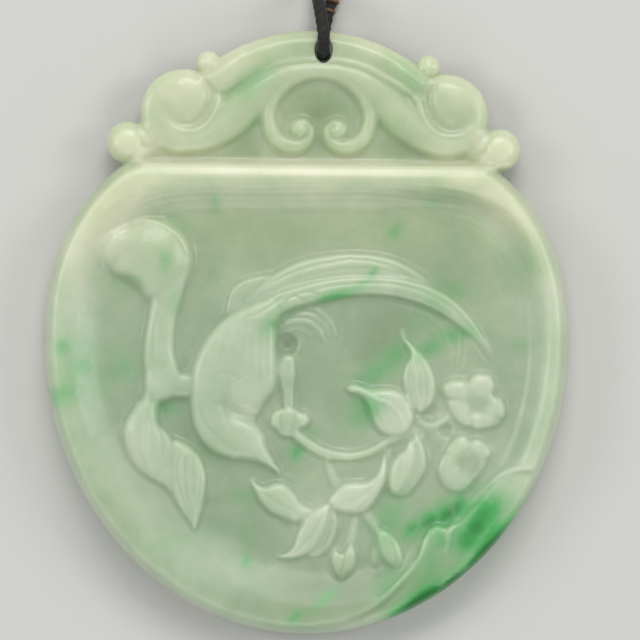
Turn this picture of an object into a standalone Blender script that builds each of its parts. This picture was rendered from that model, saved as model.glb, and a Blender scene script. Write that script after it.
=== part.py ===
"""A jade bird carving: a pendant plaque with a scrolled crown, its cord and the cord's knot.

Metres, +Z up. The plaque lies on its flat back with the carved face up and the crown towards +Y.
Sizes below are in millimetres and are scaled when each mesh is made.
"""
import math

import bmesh
import bpy
import numpy as np
from mathutils import Vector

MM = 0.001

GRID = 0.36                # spacing of the plan points the face is carved on
FACE_TRIANGLES = 6600      # what the carved face is reduced to
BACK_CUT = (15.2, 17.6)    # the back rises from the body's level to the crown's between these

CORD_RADIUS = 0.65
CORD_TURN = 2.65           # bend radius where the cord passes through its hole
KNOT_AT = (1.9, 53.35, 1.25)
KNOT_RADII = (1.9, 2.1, 1.35)

# Driving sizes of the plaque, in millimetres
HALF_WIDTH = 26.3
LOW_REACH = 29.5           # from the waist down to the foot
HIGH_REACH = 22.6          # from the waist up to the oval's top, which the crown covers
WAIST_Y = -0.75
SHOULDER_POWER = 2.3       # squareness of the upper half; 2 is a plain ellipse
FIELD = 4.7                # height of the sunk ground above the back
RIM = 6.3                  # height of the raised rim
FOOT = FIELD - 0.7         # where the figures' steep sides run out, under the ground

BAR_TOP = 16.65            # upper edge of the bar between the field and the crown
BAR_SLOPE = -0.0112

CROWN_AT = (0.7, 18.25)    # middle of the crown's foot
CROWN_TILT = math.radians(-1.2)
CROWN_FLOOR = 3.35
CROWN_BACK = 1.7           # the crown's back is cut away by this much
ARCH_CENTRE = -5.6         # along the crown's own axis
ARCH_RADIUS = 17.6
BALL = (18.6, 0.38, 2.15)  # across, up, radius, on both sides of the crown's axis
LOBE = (13.1, 3.55, 4.35)
KNOB = (11.0, 8.5, 1.25)
NECK = (16.3, 1.1, 1.75)   # joins each ball to the lobe
FOOTING = (17.2, -1.0, 1.7)    # and to the body
KNOB_SHIFT = 0.3           # the knobs sit a little right of the crown's axis
CURL_SHIFT = 0.5           # and so do the curls
HOLE_AT = (1.7, 28.2)
HOLE_REACH = (0.82, 1.2)   # half width and half height of the worn cord hole


def smooth_line(points, closed=False, per=7):
    """A Catmull-Rom curve through a few points; further columns, such as half widths, ride along."""
    p = np.array(points, float)
    if closed:
        p = np.vstack([p[-1:], p, p[:2]])
    else:
        p = np.vstack([2 * p[0] - p[1], p, 2 * p[-1] - p[-2]])
    t = np.linspace(0, 1, per, endpoint=False)[:, None]
    spans = []
    for a, b, c, d in zip(p[:-3], p[1:-2], p[2:-1], p[3:]):
        bend = (2 * a - 5 * b + 4 * c - d) * t**2 + (3 * b - a - 3 * c + d) * t**3
        spans.append(0.5 * (2 * b + (c - a) * t + bend))
    spans.append(p[-2:-1])
    return np.vstack(spans)


def nearest(x, y, line):
    """Distance to a line, the share of its length there, the side, and the line's further columns."""
    a, b = line[:-1, :2], line[1:, :2]
    ab = b - a
    length = np.maximum((ab**2).sum(1), 1e-12)
    ax = x[:, None] - a[None, :, 0]
    ay = y[:, None] - a[None, :, 1]
    k = np.clip((ax * ab[:, 0] + ay * ab[:, 1]) / length, 0, 1)
    squared = (ax - k * ab[:, 0])**2 + (ay - k * ab[:, 1])**2
    j = squared.argmin(1)
    rows = np.arange(len(x))
    kj = k[rows, j]
    side = np.sign(ab[j, 0] * ay[rows, j] - ab[j, 1] * ax[rows, j])
    steps = np.sqrt(length)
    start = np.concatenate([[0], np.cumsum(steps)])
    share = (start[j] + kj * steps[j]) / start[-1]
    extra = line[j, 2:] * (1 - kj[:, None]) + line[j + 1, 2:] * kj[:, None]
    return np.sqrt(squared[rows, j]), share, side, extra


def inside(x, y, line):
    """Which points lie within a closed line, by counting crossings."""
    within = np.zeros(len(x), bool)
    for (x0, y0), (x1, y1) in zip(line[:-1, :2], line[1:, :2]):
        if y0 != y1:
            crosses = (y0 > y) != (y1 > y)
            within ^= crosses & (x < (x1 - x0) * (y - y0) / (y1 - y0) + x0)
    return within


def higher(a, b, soft):
    """The higher of two surfaces, with a fillet between them."""
    h = np.clip(0.5 + 0.5 * (b - a) / soft, 0, 1)
    return a * (1 - h) + b * h + soft * h * (1 - h)


def lower(a, b, soft):
    return -higher(-a, -b, soft)


def ease(v, lo, hi):
    t = np.clip((v - lo) / (hi - lo), 0, 1)
    return t * t * (3 - 2 * t)


def quarter(u):
    """A quarter round, 0 at the edge and 1 from u = 1 on."""
    return np.sqrt(1 - (1 - np.clip(u, 0, 1))**2)


def to_crown(x, y):
    """Plan position in the crown's own tilted frame: across, up."""
    rx, ry = x - CROWN_AT[0], y - CROWN_AT[1]
    c, s = math.cos(CROWN_TILT), math.sin(CROWN_TILT)
    return rx * c + ry * s, -rx * s + ry * c


def body_depth(x, y):
    """How far inside the oval body a point lies."""
    up = y - WAIST_Y
    n = np.where(up > 0, SHOULDER_POWER, 2.0)
    reach = np.where(up > 0, HIGH_REACH, LOW_REACH)
    gx = np.abs(x) / HALF_WIDTH + 1e-9
    gy = np.abs(up) / reach + 1e-9
    gauge = (gx**n + gy**n)**(1 / n)
    slope = gauge**(1 - n) * np.hypot(gx**(n - 1) / HALF_WIDTH, gy**(n - 1) / reach)
    return (1 - gauge) / slope


def edge_depth(x, y):
    """How far inside the plaque's whole outline a point lies."""
    across, up = to_crown(x, y)
    depth = higher(body_depth(x, y), ARCH_RADIUS - np.hypot(across, up - ARCH_CENTRE), 0.3)
    for (at, height, radius), shift in ((FOOTING, 0), (NECK, 0), (LOBE, 0), (BALL, 0), (KNOB, KNOB_SHIFT)):
        depth = higher(depth, radius - np.hypot(np.abs(across - shift) - at, up - height), 0.35)
    return depth


def hole_depth(x, y):
    """How far outside the cord hole a point lies."""
    across, up = (x - HOLE_AT[0]) / HOLE_REACH[0], (y - HOLE_AT[1]) / HOLE_REACH[1]
    gauge = np.hypot(across, up) + 1e-9
    return (gauge - 1) * gauge / (np.hypot(across / HOLE_REACH[0], up / HOLE_REACH[1]) + 1e-9)


class Face:
    """The heights of the carved face over a cloud of plan points."""

    def __init__(self, x, y, z):
        self.x, self.y, self.z = x, y, z
        self.clear = np.full(len(x), 9.0)     # distance to the foot of the nearest figure

    def near(self, line, margin):
        lo, hi = line[:, :2].min(0) - margin, line[:, :2].max(0) + margin
        x, y = self.x, self.y
        return np.flatnonzero((x > lo[0]) & (x < hi[0]) & (y > lo[1]) & (y < hi[1]))

    def rib(self, points, top, foot=FOOT, soft=0.08, flat=0.7, wall=0.7):
        """A raised rib along points (x, y, half width); top is one height or a list along it."""
        line = smooth_line(points)
        w = self.near(line, line[:, 2].max() + 1.2)
        if not len(w):
            return
        d, share, _, extra = nearest(self.x[w], self.y[w], line)
        half = np.maximum(extra[:, 0], 1e-3)
        heights = np.atleast_1d(top)
        crest = np.interp(share, np.linspace(0, 1, len(heights)), heights)
        s = np.clip(d / half, 0, 1)
        arch = (1 - wall) * (1 - s**2)**flat + wall * (1 - s**8)**0.5 - 3 * np.maximum(d / half - 1, 0)
        self.z[w] = higher(self.z[w], foot + (crest - foot) * arch, soft)
        self.clear[w] = np.minimum(self.clear[w], d - half)

    def dome(self, x, y, radius, top, wall=0.3, **how):
        self.rib([(x - 0.02, y, radius), (x + 0.02, y, radius)], top, wall=wall, **how)

    def pad(self, points, top, edge, foot=FOOT, soft=0.08, lean=(0, 0), sag=0.0, per=7, wall=0.7):
        """A cushion with a rounded edge inside a closed outline; lean tilts it, sag hollows it."""
        line = smooth_line(points, closed=True, per=per)
        w = self.near(line, 1.2)
        if not len(w):
            return
        x, y = self.x[w], self.y[w]
        d = nearest(x, y, line)[0] * np.where(inside(x, y, line), 1, -1)
        mid = line[:, :2].mean(0)
        crest = top + (x - mid[0]) * lean[0] + (y - mid[1]) * lean[1] - sag * ease(d, 0.5 * edge,
                                                                                   2.2 * edge)
        rise = (1 - wall) * quarter(d / (1.6 * edge)) + wall * quarter(d / (0.45 * edge)) + 3 * np.minimum(d, 0)
        self.z[w] = higher(self.z[w], foot + (crest - foot) * rise, soft)
        self.clear[w] = np.minimum(self.clear[w], -d)

    def leaf(self, base, tip, half, bend=0.0, widest=0.42, top=5.6, edge=0.75, swell=(0, 0), **how):
        """A leaf or bud: a cushion about a bent midline, of a given half width at its widest."""
        (bx, by), (tx, ty) = base, tip
        cx = (bx + tx) / 2 - bend * (ty - by) + swell[0]
        cy = (by + ty) / 2 + bend * (tx - bx) + swell[1]
        t = np.linspace(0, 1, 12)
        mx = (1 - t)**2 * bx + 2 * t * (1 - t) * cx + t**2 * tx
        my = (1 - t)**2 * by + 2 * t * (1 - t) * cy + t**2 * ty
        dx, dy = np.gradient(mx), np.gradient(my)
        reach = half * np.sin(math.pi * t**(math.log(0.5) / math.log(widest)))**0.8 / np.hypot(dx, dy)
        one = np.column_stack([mx - dy * reach, my + dx * reach])
        other = np.column_stack([mx + dy * reach, my - dx * reach])
        self.pad(np.vstack([one, other[-2:0:-1]]), top, edge, per=3, **how)

    def cut(self, points, depth):
        """A groove along points (x, y, half width), of one depth or a list; a negative one raises a ridge."""
        line = smooth_line(points)
        w = self.near(line, line[:, 2].max() + 0.1)
        if not len(w):
            return
        d, share, _, extra = nearest(self.x[w], self.y[w], line)
        s = np.clip(d / np.maximum(extra[:, 0], 1e-3), 0, 1)
        depths = np.atleast_1d(depth)
        self.z[w] -= np.interp(share, np.linspace(0, 1, len(depths)), depths) * (1 - s)**2 * (1 + 2 * s)

    def hollow(self, x, y, radius, depth, stretch=1.0):
        """A ground hollow with soft sides."""
        r = np.hypot((self.x - x) / stretch, self.y - y) / radius
        self.z -= depth * (1 - ease(r, 0.35, 1.25))


def dish(x, y):
    """The plaque before its figures: rim, bar, sunk field and the crown's sunk floor."""
    depth = body_depth(x, y)
    below = BAR_TOP + BAR_SLOPE * (x - CROWN_AT[0]) - y
    inset = lower(depth, below + 0.55, 5.0)
    cove = 6.6 - 2.0 * ease(x, 4, 22) - 1.2 * ease(y, 4, 14) + 2.6 * ease(-y, 6, 28) * ease(-x, -10, 12)
    ground = RIM - (RIM - FIELD) * ease(inset, 1.6, cove) - 0.12 * ease(inset, 1.7, 2.4)
    floor = CROWN_FLOOR + 0.4 * ease(below, -1.6, -0.5)
    return floor + (ground - floor) * quarter((below + 0.45) / 1.8)


def left_stem(f):
    """A round fruit on its stem, a web to the bird, and two ribbed pods below."""
    f.dome(-15.5, 7.4, 4.3, 6.25, wall=0.2, soft=0.2)
    f.rib([(-14.1, 5.0, 2.4), (-14.1, 3.7, 1.5), (-14.4, 1.5, 1.25), (-14.85, -1.75, 1.45), (-14.6, -4.0, 1.65),
           (-14.5, -5.3, 1.6)], [5.6, 5.6, 5.65, 5.7], soft=0.25)
    f.rib([(-14.4, -5.2, 1.6), (-12.6, -5.3, 1.35), (-10.4, -5.3, 1.5)], [5.65, 5.4], soft=0.3)
    f.rib([(-15.1, -5.6, 1.25), (-15.6, -7.0, 1.1), (-16.0, -8.2, 1.5)], [5.5, 5.55], soft=0.3)
    f.leaf((-18.0, -9.4), (-13.2, -16.8), 1.7, -0.1, 0.5, top=5.2, edge=0.7)
    f.leaf((-12.9, -10.6), (-11.1, -19.7), 1.8, 0.06, 0.42, top=5.6, edge=1.0)
    f.leaf((-16.0, -6.7), (-15.0, -14.1), 2.45, 0.1, 0.56, top=5.9, edge=1.5)


def tail(f):
    """Two long ribbon feathers that arch over the bird, the upper one lying behind the lower."""
    upper = [(-5.2, 2.9, 1.1), (-3.2, 4.4, 1.35), (-0.6, 5.75, 1.5), (2.4, 6.4, 1.5), (5.6, 6.55, 1.5),
             (8.6, 6.0, 1.5), (11.0, 4.9, 1.25), (13.0, 3.5, 0.8)]
    f.rib(upper, [5.3, 5.4, 5.4, 5.35, 5.25, 5.05], wall=0.85)
    under = [(-4.6, 1.9, 1.4), (-2.0, 3.25, 1.15), (0.6, 4.0, 1.2), (3.4, 4.55, 1.15), (6.2, 4.7, 1.05),
             (9.0, 4.5, 1.08), (11.8, 3.75, 1.12), (14.2, 2.5, 1.05), (16.0, 0.9, 0.85), (17.4, -0.7, 0.5),
             (18.6, -2.6, 0.18)]
    f.rib(under, [5.9, 5.8, 5.7, 5.65, 5.6, 5.45, 5.15, 4.7], wall=0.85)


def bird(f):
    """The long-tailed bird: tail, far wing, body with arched neck, near wing, head and hooked coverts."""
    tail(f)
    far_wing = [(-8.0, 1.4), (-7.85, 3.2), (-7.4, 4.4), (-6.4, 5.2), (-5.0, 5.65), (-3.0, 5.9), (-2.0, 5.2),
                (-3.4, 3.4), (-5.4, 1.6)]
    f.pad(far_wing, 5.1, 0.55)
    trunk = [(-3.0, 3.1), (-5.0, 2.9), (-6.6, 2.2), (-8.0, 0.6), (-9.3, -1.2), (-10.3, -2.8), (-11.1, -4.3),
             (-11.6, -6.2), (-11.5, -8.1), (-10.8, -9.7), (-9.6, -11.0), (-8.0, -12.1), (-6.2, -12.8),
             (-4.9, -12.7), (-4.2, -11.4), (-4.3, -9.6), (-4.5, -8.6), (-4.2, -7.2), (-3.4, -5.8),
             (-3.15, -3.0), (-3.1, -0.5), (-2.6, 1.5)]
    f.pad(trunk, 5.65, 1.6, soft=0.2)
    nape = [(-3.9, 2.0, 1.3), (-6.2, 0.8, 1.7), (-8.2, -1.3, 1.9), (-9.4, -3.8, 2.0), (-9.8, -6.4, 1.8),
            (-9.6, -8.6, 1.8), (-8.6, -10.3, 1.7), (-7.0, -11.2, 1.5)]
    f.rib(nape, [6.0, 6.1, 6.15, 6.1, 6.05, 6.0], foot=4.9, soft=0.5)
    wing = [(-8.2, 0.2), (-6.4, 0.9), (-4.4, 1.3), (-3.4, 0.6), (-3.2, -2.0), (-3.3, -5.0), (-4.3, -6.6),
            (-5.8, -7.3), (-7.6, -7.1), (-8.9, -5.6), (-9.2, -3.6), (-8.8, -1.6)]
    f.pad(wing, 6.05, 1.8, foot=5.3, soft=0.4, wall=0.2)
    f.cut([(-9.2, -6.9, 0.6), (-7.6, -7.7, 0.8), (-5.8, -7.9, 1.0), (-4.4, -7.8, 1.1), (-3.2, -7.5, 1.2)], 0.4)
    head = [(-8.4, -7.6), (-7.2, -8.25), (-5.9, -8.6), (-4.9, -9.2), (-4.15, -10.2), (-3.9, -11.2),
            (-3.25, -12.6), (-2.5, -14.1), (-3.7, -13.45), (-4.9, -12.95), (-6.4, -12.7), (-8.0, -11.8),
            (-9.3, -10.5), (-9.6, -9.0)]
    f.pad(head, 6.1, 1.7, soft=0.25, wall=0.6)
    fan = [(-3.0, 1.6), (-1.4, 2.25), (0.1, 2.6), (1.4, 2.2), (2.4, 1.2), (3.05, -0.3), (2.2, -0.6), (1.3, -0.9),
           (0.2, -0.4), (-1.4, 0.1), (-3.2, 0.2)]
    f.pad(fan, 4.8, 1.2, soft=0.25, wall=0.4)


def leg(f):
    """A slim leg whose clenched foot grips the branch."""
    f.rib([(-1.75, -2.8, 0.75), (-2.0, -3.7, 0.95), (-2.0, -4.6, 0.8), (-1.8, -5.6, 0.55), (-1.75, -7.9, 0.55)],
          [5.2, 5.35, 5.2, 5.15, 5.2], wall=0.8)
    foot = [(-3.15, -8.25), (-2.4, -7.9), (-1.65, -8.1), (-0.9, -7.9), (-0.1, -8.2), (0.2, -8.9), (-0.4, -9.4),
            (-0.9, -9.75), (-1.3, -10.2), (-1.9, -10.45), (-2.45, -10.1), (-2.95, -9.6), (-3.35, -9.05)]
    f.pad(foot, 5.5, 0.9)
    f.cut([(-2.5, -8.2, 0.2), (-2.55, -9.0, 0.3), (-2.3, -9.8, 0.2)], 0.2)
    f.cut([(-1.2, -8.2, 0.2), (-1.2, -9.0, 0.3), (-1.5, -9.8, 0.2)], 0.2)


def branch(f):
    f.rib([(-1.0, -10.2, 0.6), (0.2, -11.1, 0.62), (1.6, -11.9, 0.62), (3.2, -12.3, 0.58), (5.0, -12.3, 0.55),
           (6.6, -11.8, 0.5), (7.9, -11.0, 0.5), (9.2, -10.4, 0.6)], [5.4, 5.25, 5.2, 5.1], flat=0.4)
    f.rib([(2.0, -12.5, 0.5), (2.25, -13.8, 0.42), (2.9, -15.2, 0.5)], 5.0, soft=0.25)
    f.rib([(7.9, -11.4, 0.4), (8.0, -12.4, 0.35), (7.8, -13.4, 0.3)], 4.95, soft=0.25)
    f.rib([(10.7, -8.4, 0.5), (11.6, -9.1, 0.55), (12.6, -9.35, 0.55), (13.6, -8.9, 0.5), (14.2, -8.4, 0.4)], 4.95,
          soft=0.2)
    f.rib([(11.4, -9.6, 0.8), (12.8, -10.3, 0.8), (14.0, -11.2, 0.6)], 4.75, soft=0.3)
    f.rib([(9.4, -10.2, 0.6), (10.4, -10.0, 0.8), (11.2, -10.4, 0.7)], 5.05, soft=0.3)
    f.rib([(-1.2, -18.2, 0.9), (0.4, -17.9, 0.65), (2.2, -17.1, 0.6)], 5.05, soft=0.25)
    f.rib([(4.85, -17.8, 0.42), (4.8, -19.4, 0.36), (4.6, -20.8, 0.36), (4.1, -21.8, 0.5)], 4.95, soft=0.2)
    f.rib([(5.7, -17.8, 0.6), (6.5, -18.9, 0.6), (7.1, -20.0, 0.6), (7.4, -21.0, 0.8)], 5.05, soft=0.2)


def leaves(f):
    """The sprays' leaves and buds, each from its base to its tip."""
    f.leaf((11.3, -8.4), (9.6, 0.2), 1.8, -0.13, 0.36, top=5.45)
    f.leaf((10.0, -10.2), (4.2, -5.5), 2.3, -0.27, 0.36, top=5.7)
    f.leaf((10.9, -10.2), (8.9, -16.5), 2.0, 0.16, 0.48, top=5.7, edge=0.9)
    f.leaf((2.3, -17.2), (7.75, -12.4), 1.8, -0.36, 0.44, top=5.8, edge=0.9)
    f.leaf((0.3, -18.3), (-5.4, -14.8), 1.75, 0.08, 0.45, top=5.6)
    f.leaf((2.6, -17.8), (0.4, -22.3), 1.3, 0.2, 0.45, top=5.2)
    f.leaf((2.2, -17.2), (-2.6, -22.4), 1.5, 0.2, 0.5, top=5.65, edge=0.9)
    f.leaf((4.3, -21.4), (3.1, -24.7), 1.2, 0.05, 0.52, top=5.35)
    f.leaf((7.3, -19.8), (7.0, -23.5), 0.75, 0.0, 0.5, top=5.15, edge=0.6)
    f.leaf((7.4, -19.6), (9.2, -23.8), 1.2, 0.16, 0.55, top=5.5)


def blossom(f, x, y, radius, turn, wide, top):
    """A five-petalled blossom: a lobed collar, split between its petals and sunk in the middle."""
    around = np.linspace(0, 2 * math.pi, 30, endpoint=False)
    petals = np.abs(np.cos(2.5 * (around - turn)))
    lobes = radius * (0.86 + 0.14 * petals + 0.05 * np.sin(2 * around + turn))
    f.pad(np.column_stack([x + wide * lobes * np.cos(around), y + lobes * np.sin(around)]), top, 0.85,
          soft=0.2, per=2)
    for k in range(5):
        a = turn + (k + 0.5) * 0.4 * math.pi
        split = [(x + wide * r * math.cos(a), y + r * math.sin(a), w) for r, w in ((radius, 0.4),
                                                                                   (0.5 * radius, 0.5))]
        f.cut(split, 0.4)


def blossoms(f):
    blossom(f, 16.75, -7.0, 3.25, 1.25, 1.0, 5.55)
    blossom(f, 15.75, -13.1, 3.0, 0.75, 0.93, 5.5)


def hill(f):
    """A rounded bank across the lower right, edged by a raised roll, with a boulder at its left end."""
    line = smooth_line([(27, -13.3), (22.9, -13.45), (20.7, -13.55), (19.6, -14.0), (18.3, -15.2), (16.7, -17.0),
                        (15.2, -18.6), (14.0, -19.2), (12.9, -19.1), (12.0, -19.7), (11.4, -20.8),
                        (10.9, -22.4), (9.6, -24.2), (7.4, -26.6), (4.0, -28.5), (0.5, -29.9), (10, -36),
                        (34, -30)], closed=True)
    d = nearest(f.x, f.y, line)[0] * np.where(inside(f.x, f.y, line), 1, -1)
    crest = 5.5 - 0.1 * ease(d, 1.0, 4.0)
    f.z = higher(f.z, FOOT + (crest - FOOT) * quarter(d / 1.1), 0.3)
    f.z = lower(f.z, crest + 2.5 * (1 - ease(d, -0.6, 1.3)), 0.25)
    f.cut([(22.9, -13.95, 0.3), (20.9, -14.0, 0.4), (19.8, -14.45, 0.4), (18.5, -15.6, 0.4), (16.9, -17.4, 0.4),
           (15.4, -19.1, 0.4), (14.6, -20.6, 0.4), (13.9, -22.2, 0.3)], [-0.1, -0.25, -0.3, -0.3, -0.2])
    f.rib([(13.0, -20.4, 1.35), (12.3, -21.8, 1.2), (11.3, -23.6, 0.9), (9.4, -25.8, 0.8), (7.0, -27.6, 0.7)],
          [5.75, 5.65, 5.6, 5.5], foot=5.1, soft=0.35, wall=0.3)
    f.clear = np.minimum(f.clear, -d)


def crown(f):
    """Arch band, scroll, volutes and balls mirrored about the crown's axis, and the two curls."""
    across, up = to_crown(f.x, f.y)
    side = Face(np.abs(across), up, f.z.copy())
    side.pad([(8.0, 3.0), (8.4, 7.6), (10.6, 8.4), (12.0, 7.0), (12.0, 4.0)], 3.9, 0.8, foot=2.0)
    middle = ARCH_RADIUS - 1.75
    band = [(middle * math.sin(a), ARCH_CENTRE + middle * math.cos(a), 1.75)
            for a in np.radians(np.linspace(-37, 37, 9))]
    side.rib(band, 5.0, foot=2.9, wall=0.9)
    knob = Face(np.abs(across - KNOB_SHIFT), up, side.z)
    knob.rib([(9.3, 7.2, 1.6), (10.3, 7.2, 1.5), KNOB], [5.0, 4.95, 4.95], foot=2.9, wall=0.85, soft=0.3)
    side.dome(16.4, 0.8, 2.4, 4.55, foot=2.5, soft=0.3)
    around = np.radians(np.arange(0, 360, 30))
    x, y, radius = LOBE
    side.pad(np.column_stack([x + radius * np.cos(around), y + radius * np.sin(around)]), 4.95, 1.5, foot=2.6,
             per=3, wall=0.8)
    scroll = [(-3.6, 7.4, 1.3), (0, 7.95, 1.15), (3.6, 7.4, 1.3), (6.2, 5.5, 1.9), (8.4, 3.3, 2.2),
              (10.5, 1.5, 1.75), (12.7, 0.7, 1.4), (14.6, 1.2, 1.3), (15.9, 2.9, 1.2), (16.0, 4.6, 1.1)]
    side.rib(scroll, [5.1, 5.1, 5.15, 5.2, 5.2, 5.15, 5.05, 4.95], foot=2.8, wall=0.65)
    side.dome(13.1, 4.75, 2.55, 5.25, foot=4.5, wall=0.05, soft=0.4)
    groove = [(15.5, 4.6, 0.6), (15.0, 3.3, 0.7), (14.1, 2.6, 0.75), (13.0, 2.4, 0.8), (12.0, 2.75, 0.8),
              (11.35, 3.6, 0.8), (11.0, 4.6, 0.75), (11.0, 5.6, 0.7), (11.4, 6.6, 0.5)]
    side.cut(groove, [0.0, 0.15, 0.3, 0.35, 0.35, 0.3, 0.15])
    lip = [(-3.9, 8.5, 0.35), (0, 9.0, 0.35), (3.9, 8.5, 0.35), (6.6, 7.15, 0.35), (8.7, 5.95, 0.35),
           (9.9, 5.0, 0.35), (10.4, 3.9, 0.35), (11.1, 2.7, 0.4), (12.1, 1.95, 0.4), (13.2, 1.75, 0.4),
           (14.3, 1.95, 0.4), (15.1, 2.6, 0.3)]
    side.cut(lip, -0.25)
    side.dome(*BALL, 4.75, foot=2.5, wall=0.8)
    side.dome(BALL[0] - 0.1, BALL[1] - 0.45, 1.65, 5.15, foot=4.5, wall=0.2, soft=0.2)
    curls = Face(np.abs(across - CURL_SHIFT), up, side.z)
    curl = [(0, 7.95, 1.1), (2.2, 7.45, 1.15), (3.9, 6.15, 1.05), (4.9, 4.4, 0.95), (5.0, 2.6, 0.95),
            (4.35, 1.15, 1.0), (3.1, 0.4, 1.05), (1.9, 0.5, 1.0), (1.1, 1.2, 0.9), (0.95, 2.1, 0.8)]
    curls.rib(curl, [5.05, 5.05, 5.0, 5.0, 4.95, 4.9, 4.8], foot=2.7, wall=0.6)
    curls.dome(1.75, 2.0, 1.45, 4.95, foot=2.8, wall=0.6)
    curls.cut([(3.0, 1.75, 0.2), (2.5, 1.25, 0.3), (1.8, 1.1, 0.3), (1.25, 1.5, 0.3), (1.2, 2.2, 0.3),
               (1.7, 2.6, 0.25), (2.1, 2.3, 0.2)], 0.2)
    curls.cut([(4.35, 5.1, 0.2), (4.15, 3.5, 0.25), (4.1, 2.4, 0.28), (3.6, 1.5, 0.28), (2.7, 1.0, 0.28)], -0.15)
    f.z = np.where(f.y > BAR_TOP - 1.2, higher(f.z, curls.z, 0.05), f.z)


def round_edges(f):
    """The outline's round edge and the cord hole's softer mouth."""
    high = ease(f.y, BAR_TOP - 1.5, BAR_TOP + 0.5)
    wall = 1.9 + 0.9 * high
    depth = edge_depth(f.x, f.y)
    f.z = lower(f.z, wall + (7.2 - 1.0 * high - wall) * quarter(depth / (2.5 - 0.9 * high)), 0.25)
    bevel = 3.3 + 1.05 * quarter(depth / 0.45) + 0.65 * np.clip(depth / 1.05, 0, 1) + 4 * np.clip(depth - 1.05, 0, 1)
    f.z = np.where(high > 0, lower(f.z, bevel + 2 * (1 - high), 0.06), f.z)
    f.z = lower(f.z, 3.3 + 3.0 * quarter(hole_depth(f.x, f.y) / 0.6), 0.12)


def carved_height(x, y):
    """The carved face's height over plan points that lie within the outline."""
    f = Face(x, y, np.full(len(x), -9.0))
    for figure in (left_stem, branch, bird, leg, leaves, blossoms):
        figure(f)
    ground = dish(x, y)
    foot_line = 0.12 * np.exp(-(np.maximum(f.clear, 0) / 0.5)**2)
    f.z = higher(ground - foot_line * (1 - ease(ground, 4.6, 5.6)), f.z, 0.15)
    f.hollow(-1.8, -1.05, 1.15, 0.7)
    f.hollow(13.9, -9.7, 0.65, 0.6)
    f.hollow(12.4, -8.1, 0.9, 0.4)
    f.hollow(-13.4, -7.4, 1.3, 0.3, stretch=1.3)
    hill(f)
    crown(f)
    round_edges(f)
    return f.z


def back_height(y):
    return CROWN_BACK * ease(y, *BACK_CUT)


def plan_depth(x, y):
    """Distance inside the material, from the outline or from the cord hole, whichever is nearer."""
    return np.minimum(edge_depth(x, y), hole_depth(x, y))


def inward(x, y):
    """Unit direction from the nearest edge into the material."""
    e = 0.02
    gx = plan_depth(x + e, y) - plan_depth(x - e, y)
    gy = plan_depth(x, y + e) - plan_depth(x, y - e)
    size = np.maximum(np.hypot(gx, gy), 1e-9)
    return gx / size, gy / size


def to_edge(x, y, inset=0.0):
    """Plan points slid along the inward direction until they lie at one depth."""
    for _ in range(6):
        ux, uy = inward(x, y)
        gap = inset - plan_depth(x, y)
        x, y = x + ux * gap, y + uy * gap
    return x, y


def plan_of(verts):
    return np.array([v.co.x for v in verts]), np.array([v.co.y for v in verts])


def place(verts, x, y, z):
    for v, a, b, c in zip(verts, x, y, z):
        v.co = (a, b, c)


def open_edges(bm):
    return [e for e in bm.edges if e.is_boundary]


def carved_face():
    """The face alone: a plan grid trimmed to the outline, raised to the carving, thinned where plain."""
    half_x = math.ceil((HALF_WIDTH + 1) / GRID) * GRID
    half_y = math.ceil((LOW_REACH + 3) / GRID) * GRID
    bm = bmesh.new()
    columns, rows = round(2 * half_x / GRID), round(2 * half_y / GRID)
    bmesh.ops.create_grid(bm, x_segments=columns, y_segments=rows, size=1)
    verts = list(bm.verts)
    x, y = plan_of(verts)
    x, y = x * half_x, y * half_y
    place(verts, x, y, np.zeros(len(x)))
    depth = plan_depth(x, y)
    spare = [v for v, d in zip(verts, depth) if d < 0.4 * GRID]
    bmesh.ops.delete(bm, geom=spare, context="VERTS")
    stray = [v for v in bm.verts if not v.link_faces]
    bmesh.ops.delete(bm, geom=stray, context="VERTS")
    rim = list({v for e in open_edges(bm) for v in e.verts})
    x, y = to_edge(*plan_of(rim))
    place(rim, x, y, np.zeros(len(x)))
    verts = list(bm.verts)
    x, y = plan_of(verts)
    place(verts, x, y, carved_height(x, y))
    bmesh.ops.triangulate(bm, faces=bm.faces[:])
    count = len(bm.faces)
    thinned = apply_modifier(bm, "DECIMATE", ratio=FACE_TRIANGLES / count)
    rim = list({v for e in open_edges(thinned) for v in e.verts})
    x, y = to_edge(*plan_of(rim))
    place(rim, x, y, np.maximum([v.co.z for v in rim], 1.6))
    return thinned


def apply_modifier(bm, kind, **settings):
    """The bmesh that comes out of one modifier."""
    mesh = bpy.data.meshes.new("work")
    bm.to_mesh(mesh)
    bm.free()
    holder = bpy.data.objects.new("work", mesh)
    bpy.context.collection.objects.link(holder)
    modifier = holder.modifiers.new("work", kind)
    for name, value in settings.items():
        setattr(modifier, name, value)
    graph = bpy.context.evaluated_depsgraph_get()
    result = bmesh.new()
    result.from_mesh(holder.evaluated_get(graph).to_mesh())
    bpy.data.objects.remove(holder, do_unlink=True)
    bpy.data.meshes.remove(mesh)
    return result


def ring_below(bm, inset, lift):
    """Extrude every open edge into a ring at one inset from the outline; lift is above the back."""
    made = bmesh.ops.extrude_edge_only(bm, edges=open_edges(bm))["geom"]
    verts = [g for g in made if isinstance(g, bmesh.types.BMVert)]
    x, y = plan_of(verts)
    drilled = hole_depth(x, y) < edge_depth(x, y)
    inset = np.where(drilled, min(inset, 0.25), inset * (1 - 0.5 * ease(y, *BACK_CUT)))
    x, y = to_edge(x, y, inset)
    place(verts, x, y, back_height(y) + np.where(drilled, min(lift, 0.25), lift))


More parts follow.
